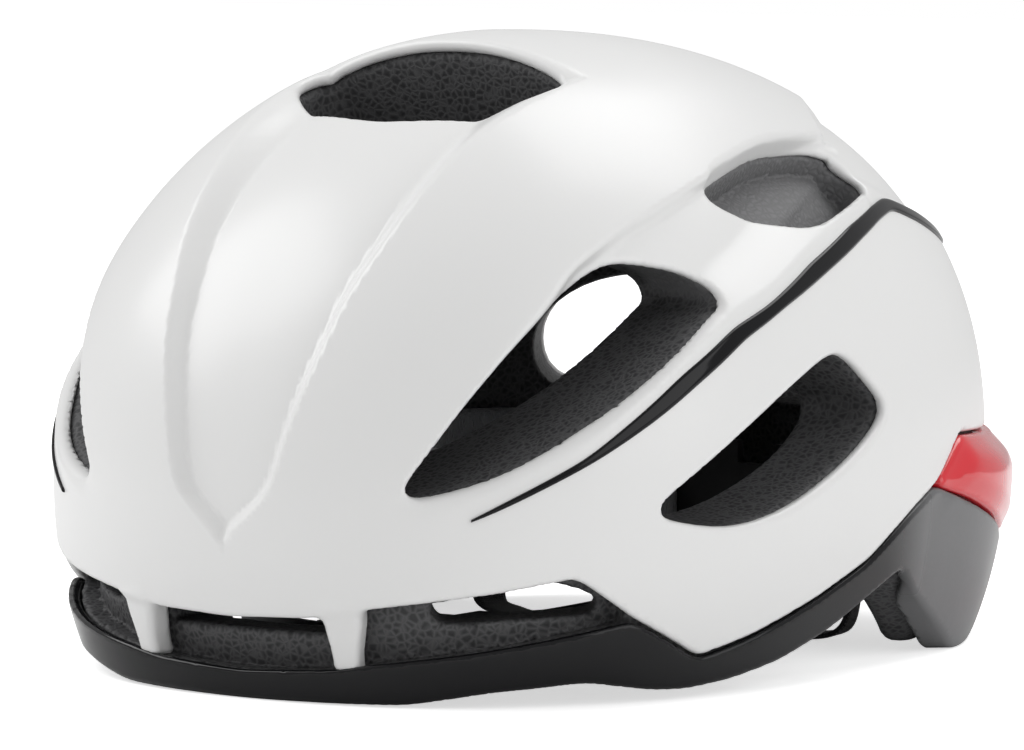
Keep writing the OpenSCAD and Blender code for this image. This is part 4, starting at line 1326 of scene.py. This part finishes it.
@dataclass
class Pads:
    """The comfort pads: closed cushions that are inflated as cloth."""

    shop: Workshop
    cavity: Cavity
    gap: float = 2.2
    thick: float = 6.0
    plans: Sequence[PadPlan] = (
        PadPlan("brow_pad", (-42, 42), (35, 62), (-0.5, 0.0, 0.5)),
        PadPlan("crown_pad", (138, 222), (111, 127)),
        PadPlan("left_side_pad", (98, 128), (78, 100)),
        PadPlan("right_side_pad", (-128, -98), (78, 100)),
        PadPlan("left_rear_pad", (112, 150), (43, 57)),
        PadPlan("right_rear_pad", (-150, -112), (43, 57)),
    )

    def wall(self, angle: Array, z: Array, inward: Array) -> Array:
        """Works out points at a depth inside the cavity wall, by bisection along the radius.

        Args:
            angle: Angle from the nose, in degrees.
            z: Height over the table, in millimetres.
            inward: Depth inside the cavity wall, in millimetres.

        Returns:
            Points at a depth inside the cavity wall, by bisection along the radius.
        """
        a = np.radians(angle)
        way = np.stack([np.sin(a), -np.cos(a), np.zeros_like(a)], 1)
        base = np.stack([np.zeros_like(z), np.full_like(z, self.cavity.centre_y), z], 1)
        near, far = np.zeros_like(z), np.full_like(z, 150.0)
        for _ in range(26):
            mid = (near + far) / 2
            inside = self.cavity.distance(base + way * mid[:, None]) < -inward
            near = np.where(inside, mid, near)
            far = np.where(inside, far, mid)
        return base + way * near[:, None]

    def cushion(self, plan: PadPlan) -> bpy.types.Object:
        """Builds one cushion as a closed form with pressed channels.

        Args:
            plan: The pad's plan.

        Returns:
            The result.
        """
        count_u, count_v = 48, 18
        s, t = np.meshgrid(np.linspace(-1, 1, count_u), np.linspace(-1, 1, count_v), indexing="ij")
        s, t = s.ravel(), t.ravel()
        wide, tall = s * np.sqrt(1 - 0.16 * t ** 6), t * np.sqrt(1 - 0.42 * s ** 6)
        angle = np.mean(plan.angles) + wide * (plan.angles[1] - plan.angles[0]) / 2
        z = np.mean(plan.heights) + tall * (plan.heights[1] - plan.heights[0]) / 2
        crown = np.sqrt(np.maximum((1 - np.abs(s) ** 5) * (1 - np.abs(t) ** 4), 0.0))
        for place in plan.channels:
            crown *= 1 - 0.35 * np.exp(-((s - place) / 0.05) ** 2)
        middle = self.gap + self.thick * 0.3
        front = self.wall(angle, z, middle + (self.thick * 0.7) * crown)
        back = self.wall(angle, z, middle - (self.thick * 0.3) * np.minimum(crown * 2, 1))
        faces = []
        offset = len(s)
        for i in range(count_u - 1):
            for j in range(count_v - 1):
                a, b = i * count_v + j, (i + 1) * count_v + j
                faces.append((a, b, b + 1, a + 1))
                faces.append((offset + a, offset + a + 1, offset + b + 1, offset + b))
        thing = mesh_object(f"{plan.node}_cushion", np.concatenate([front, back]) * MM, faces)
        self.close(thing)
        return thing

    @staticmethod
    def close(thing: bpy.types.Object) -> None:
        """Welds the rims of the two sides and turns every face outwards.

        Args:
            thing: The object.
        """
        mesh = bmesh.new()
        mesh.from_mesh(thing.data)
        bmesh.ops.remove_doubles(mesh, verts=mesh.verts, dist=0.05 * MM)
        bmesh.ops.recalc_face_normals(mesh, faces=mesh.faces)
        mesh.to_mesh(thing.data)
        mesh.free()
        thing.data.shade_smooth()

    def inflate(self, thing: bpy.types.Object, limit: float = 1.1) -> None:
        """Inflates a cushion as cloth and keeps the result.

        Args:
            thing: The cushion.
            limit: Furthest that a point may move, in millimetres.
        """
        remesh = thing.modifiers.new("remesh", "REMESH")
        remesh.mode = "VOXEL"
        remesh.voxel_size = 1.6 * MM
        freeze(thing)
        before = np.empty(len(thing.data.vertices) * 3)
        thing.data.vertices.foreach_get("co", before)
        cloth = thing.modifiers.new("cloth", "CLOTH")
        cloth.settings.use_pressure = True
        cloth.settings.uniform_pressure_force = 4.0
        cloth.settings.effector_weights.gravity = 0.0
        cloth.settings.quality = 5
        cloth.collision_settings.use_collision = False
        scene = bpy.context.scene
        for number in range(1, 13):
            scene.frame_set(number)
        freeze(thing)
        after = np.empty_like(before)
        thing.data.vertices.foreach_get("co", after)
        move = (after - before).reshape(-1, 3)
        length = np.linalg.norm(move, axis=1, keepdims=True) + 1e-12
        move *= np.minimum(1.0, limit * MM / length)
        thing.data.vertices.foreach_set("co", (before.reshape(-1, 3) + move).ravel())
        scene.frame_set(1)
        thing.modifiers.new("round", "SUBSURF").levels = 1
        freeze(thing)
        thing.data.shade_smooth()

    def build(self) -> None:
        """Builds and inflates every pad."""
        for plan in self.plans:
            thing = self.cushion(plan)
            self.inflate(thing)
            self.shop.add(thing, plan.node)


def freeze(thing: bpy.types.Object) -> None:
    """Applies a piece's modifiers, so that its mesh is what they make.

    Args:
        thing: The object.
    """
    bpy.context.view_layer.update()
    graph = bpy.context.evaluated_depsgraph_get()
    mesh = bpy.data.meshes.new_from_object(thing.evaluated_get(graph), depsgraph=graph)
    thing.modifiers.clear()
    thing.data = mesh


@dataclass
class Webbing:
    """The straps, as woven tape that keeps its width."""

    shop: Workshop
    width: float = 12.0
    thick: float = 1.5
    front: Sequence[Sequence[float]] = (
        (74, -46, 15), (71, -46.5, 8), (64, -50, 2.6), (52, -55, 1.2), (42, -52, 1.2), (38, -42, 1.2),
        (41, -31, 1.2), (46, -22, 1.2), (49, -15.5, 1.2))
    front_side: Sequence[Sequence[float]] = (
        (0, 1, 0), (0.1, 1, 0), (0.2, 1, 0), (0.3, 1, 0), (-0.5, 1, 0), (-1, 0.1, 0), (-1, -0.4, 0),
        (-1, -0.4, 0), (-1, -0.3, 0))
    rear: Sequence[Sequence[float]] = (
        (61.4, 65.8, 26), (59.5, 64, 14), (57, 61, 3.5), (48, 57, 1.2), (34, 46, 1.2), (31, 36, 1.2),
        (35, 26, 1.2), (42, 16, 1.2), (46, 8, 1.2))
    rear_side: Sequence[Sequence[float]] = (
        (0.5, -1, 0), (0.4, -1, 0), (0.2, -1, 0), (0.2, -1, 0), (0.6, -0.6, 0), (1, 0, 0), (1, 0.4, 0),
        (1, 0.6, 0), (1, 0.4, 0))

    @staticmethod
    def spline(points: Array, count: int) -> Array:
        """Works out a smooth curve through points, with a number of steps in each span.

        Args:
            points: The points.
            count: Number of steps in each span.

        Returns:
            A smooth curve through points, with a number of steps in each span.
        """
        ends = np.concatenate([[2 * points[0] - points[1]], points, [2 * points[-1] - points[-2]]])
        out = []
        for i in range(1, len(ends) - 2):
            a, b, c, d = ends[i - 1:i + 3]
            for t in np.arange(count) / count:
                out.append(0.5 * (2 * b + (c - a) * t + (2 * a - 5 * b + 4 * c - d) * t ** 2
                                  + (3 * b - a - 3 * c + d) * t ** 3))
        out.append(points[-1])
        return np.array(out)

    def tape(self, name: str, points: Sequence[Sequence[float]], sides: Sequence[Sequence[float]],
             mirror: float = 1.0, count: int = 9) -> bpy.types.Object:
        """Builds a tape along points.

        Args:
            name: Name of the piece.
            points: Middle of the tape.
            sides: Direction across the tape at each point.
            mirror: -1 for the wearer's right.
            count: Steps between two points.

        Returns:
            The tape, with a map of its length and width in metres.
        """
        line = self.spline(np.array(points, float), count)
        across = self.spline(np.array(sides, float), count)
        ahead = np.gradient(line, axis=0)
        ahead /= np.linalg.norm(ahead, axis=1, keepdims=True)
        across -= (across * ahead).sum(1, keepdims=True) * ahead
        across /= np.linalg.norm(across, axis=1, keepdims=True)
        up = np.cross(ahead, across)
        half = np.linspace(-1.0, 1.0, 11)
        edge = np.sqrt(np.maximum(1 - np.abs(half) ** 8, 0.0)) * (1 + 0.12 * np.abs(half) ** 4)
        ring = np.concatenate([np.stack([half, edge], 1), np.stack([half[-2:0:-1], -edge[-2:0:-1]], 1)])
        verts = (line[:, None] + across[:, None] * (ring[None, :, :1] * self.width / 2)
                 + up[:, None] * (ring[None, :, 1:] * self.thick / 2)).reshape(-1, 3)
        verts[:, 2] = np.maximum(verts[:, 2], 0.45)
        verts[:, 0] *= mirror
        thing = mesh_object(name, verts * MM, tube_faces(len(line), len(ring), mirror > 0))
        run = np.concatenate([[0.0], np.cumsum(np.linalg.norm(np.diff(line, axis=0), axis=1))]) * MM
        where = np.stack([np.repeat(run, len(ring)), np.tile(ring[:, 0] * self.width / 2 * MM, len(run))], 1)
        layer = thing.data.uv_layers.new(name="tape")
        corners = np.empty(len(thing.data.loops), int)
        thing.data.loops.foreach_get("vertex_index", corners)
        layer.data.foreach_set("uv", where[corners].ravel())
        return thing

    def build(self) -> None:
        """Builds the four side straps and the two chin straps."""
        for mirror, side in ((1.0, "left"), (-1.0, "right")):
            self.shop.add(self.tape(f"{side}_front_tape", self.front, self.front_side, mirror),
                          f"{side}_front_strap")
            self.shop.add(self.tape(f"{side}_rear_tape", self.rear, self.rear_side, mirror),
                          f"{side}_rear_strap")
        for node in ("left_chin_strap", "right_chin_strap"):
            low, high = (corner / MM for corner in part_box(node))
            middle = (low + high) / 2
            ends = [(low.x, middle.y, middle.z), (middle.x, middle.y, middle.z), (high.x, middle.y, middle.z)]
            self.shop.add(self.tape(f"{node}_tape", ends, [(0, 1, 0)] * 3, 1.0, 24), node)


# ---------------------------------------------------------------------------------------------
# Hardware
# ---------------------------------------------------------------------------------------------


@dataclass
class Hardware:
    """The moulded parts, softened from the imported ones, and the small parts that are kept."""

    shop: Workshop
    bevels: dict[str, float] = field(default_factory=lambda: {
        "front_band": 0.35, "height_track": 0.4, "hanger": 0.4, "cradle": 0.5, "dial_housing": 0.6,
        "left_band": 0.3, "right_band": 0.3, "dial_knob": 0.5, "left_divider": 0.5,
        "right_divider": 0.5, "left_lever": 0.4, "right_lever": 0.4, "buckle_socket": 0.6,
        "buckle_plug": 0.5, "strap_anchors": 0.3})
    soft: dict[str, float] = field(default_factory=lambda: {"cradle_pads": 1.2, "chin_pad": 1.6})

    def soften(self, node: str, width: float) -> None:
        """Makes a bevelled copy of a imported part.

        Args:
            node: Name of the part.
            width: Width of the bevels, in millimetres.
        """
        source = frame["nodes"][node]
        thing = bpy.data.objects.new(f"{node}_moulded", source.data.copy())
        bpy.context.scene.collection.objects.link(thing)
        thing.matrix_world = source.matrix_world
        mesh = bmesh.new()
        mesh.from_mesh(thing.data)
        bmesh.ops.remove_doubles(mesh, verts=mesh.verts, dist=0.01 * MM)
        bmesh.ops.dissolve_limit(mesh, angle_limit=math.radians(1.0), verts=mesh.verts, edges=mesh.edges)
        mesh.to_mesh(thing.data)
        mesh.free()
        thing.data.shade_smooth()
        bevel = thing.modifiers.new("bevel", "BEVEL")
        bevel.width = width * MM
        bevel.segments = 3
        bevel.limit_method = "ANGLE"
        bevel.angle_limit = math.radians(38.0)
        bevel.harden_normals = True
        thing.modifiers.new("flat", "WEIGHTED_NORMAL").keep_sharp = True
        freeze(thing)
        self.shop.add(thing, node)
        node in self.soft

    def build(self) -> None:
        """Builds the copies, and gives the parts that are kept their finish."""
        for node, width in {**self.bevels, **self.soft}.items():
            self.soften(node, width)
        for node, thing in frame["nodes"].items():
            name = self.shop.slots.get(node)
            if name:
                thing.data.materials.clear()
                thing.data.materials.append(self.shop.materials[name])


# ---------------------------------------------------------------------------------------------
# Studio
# ---------------------------------------------------------------------------------------------


@dataclass(frozen=True)
class SoftBox:
    """A large soft light that points at the helmet."""

    name: str
    at: tuple[float, float, float]
    size: float
    power: float


@dataclass
class Studio:
    """The white floor and room, the lights and the camera."""

    target: tuple[float, float, float] = (0.0, -0.0246, 0.08)
    camera_at: tuple[float, float, float] = (0.9609, -1.4493, 0.2089)
    lens: float = 232.6
    roll: float = 0.0065
    shift: tuple[float, float] = (0.0218, -0.0234)
    room: float = 0.5
    glow: float = 0.62
    lights: Sequence[SoftBox] = (
        SoftBox("key", (-1.5, -0.7, 1.5), 1.4, 21.0),
        SoftBox("right", (1.7, 0.1, 0.9), 1.5, 9.0),
        SoftBox("top", (0.2, 0.9, 1.6), 1.0, 9.0),
    )

    @staticmethod
    def aim(thing: bpy.types.Object, target: Sequence[float], roll: float = 0.0) -> None:
        """Turns a thing so that it looks at a target.

        Args:
            thing: The object.
            target: Point to look at, in metres.
            roll: Turn about the line of sight, in radians.
        """
        way = Vector(target) - thing.location
        turn = way.to_track_quat("-Z", "Y").to_matrix().to_4x4() @ Matrix.Rotation(roll, 4, "Z")
        thing.rotation_euler = turn.to_euler()

    def build_floor(self) -> None:
        """Builds the white floor, which glows only where it is looked at."""
        corners = np.array([(-6, -6, 0), (6, -6, 0), (6, 6, 0), (-6, 6, 0)], float)
        floor = mesh_object("floor", corners, [(0, 1, 2, 3)])
        white = bpy.data.materials.new("floor_white")
        white.use_nodes = True
        tree = white.node_tree
        shader = tree.nodes["Principled BSDF"]
        shader.inputs["Base Color"].default_value = (0.95, 0.95, 0.95, 1.0)
        shader.inputs["Roughness"].default_value = 0.9
        shader.inputs["Specular IOR Level"].default_value = 0.1
        shader.inputs["Emission Color"].default_value = (1.0, 1.0, 1.0, 1.0)
        seen = tree.nodes.new("ShaderNodeLightPath")
        glow = tree.nodes.new("ShaderNodeMath")
        glow.operation = "MULTIPLY"
        glow.inputs[1].default_value = self.glow
        tree.links.new(seen.outputs["Is Camera Ray"], glow.inputs[0])
        tree.links.new(glow.outputs["Value"], shader.inputs["Emission Strength"])
        floor.data.materials.append(white)

    def build_room(self) -> None:
        """Builds the white room, which lights less than it shows."""
        world = bpy.data.worlds.new("room")
        bpy.context.scene.world = world
        world.use_nodes = True
        tree = world.node_tree
        back = tree.nodes["Background"]
        path = tree.nodes.new("ShaderNodeLightPath")
        level = tree.nodes.new("ShaderNodeMapRange")
        level.inputs["To Min"].default_value = self.room
        level.inputs["To Max"].default_value = 1.0
        tree.links.new(path.outputs["Is Camera Ray"], level.inputs["Value"])
        tree.links.new(level.outputs["Result"], back.inputs["Strength"])
        back.inputs["Color"].default_value = (1.0, 1.0, 1.0, 1.0)

    def build_lights(self) -> None:
        """Hangs the soft lights."""
        for box in self.lights:
            data = bpy.data.lights.new(box.name, "AREA")
            data.energy = box.power
            data.size = box.size
            lamp = bpy.data.objects.new(box.name, data)
            lamp.location = box.at
            bpy.context.scene.collection.objects.link(lamp)
            self.aim(lamp, self.target)

    def build_camera(self) -> None:
        """Sets up the camera."""
        data = bpy.data.cameras.new("camera")
        data.lens = self.lens
        data.clip_end = 20.0
        data.shift_x, data.shift_y = self.shift
        camera = bpy.data.objects.new("camera", data)
        camera.location = self.camera_at
        bpy.context.scene.collection.objects.link(camera)
        self.aim(camera, self.target, self.roll)
        bpy.context.scene.camera = camera

    def build(self) -> None:
        """Builds the studio."""
        bpy.context.scene.view_settings.view_transform = "Standard"
        self.build_floor()
        self.build_room()
        self.build_lights()
        self.build_camera()


def main() -> None:
    """Builds the helmet piece by piece, then the studio round it."""
    logging.basicConfig(level=logging.INFO, format="%(message)s")
    record = frame["record"]
    slots = {part["node"]: part["material_slot"] for part in record["subparts"]}
    bodies = {node: body for body, nodes in record["behaviour"]["bodies"].items() for node in nodes}
    groups = PatternGroups()
    materials = {finish.slot: finish.material(groups) for finish in FINISHES}
    form = HelmetForm(half_w=103.0, front_y=-142.8, rear_y=142.8, top_z=163.6)
    shop = Workshop(form, materials, slots, bodies)
    relief = ShellRelief(form)
    cavity = Cavity(form)
    vents = Vents()
    vents.add_rear(form)
    Shells(shop, relief, cavity, vents).build()
    Stripes(shop, relief).build()
    Pads(shop, cavity).build()
    Webbing(shop).build()
    Hardware(shop).build()
    Studio().build()


if __name__ == "__main__":
    main()
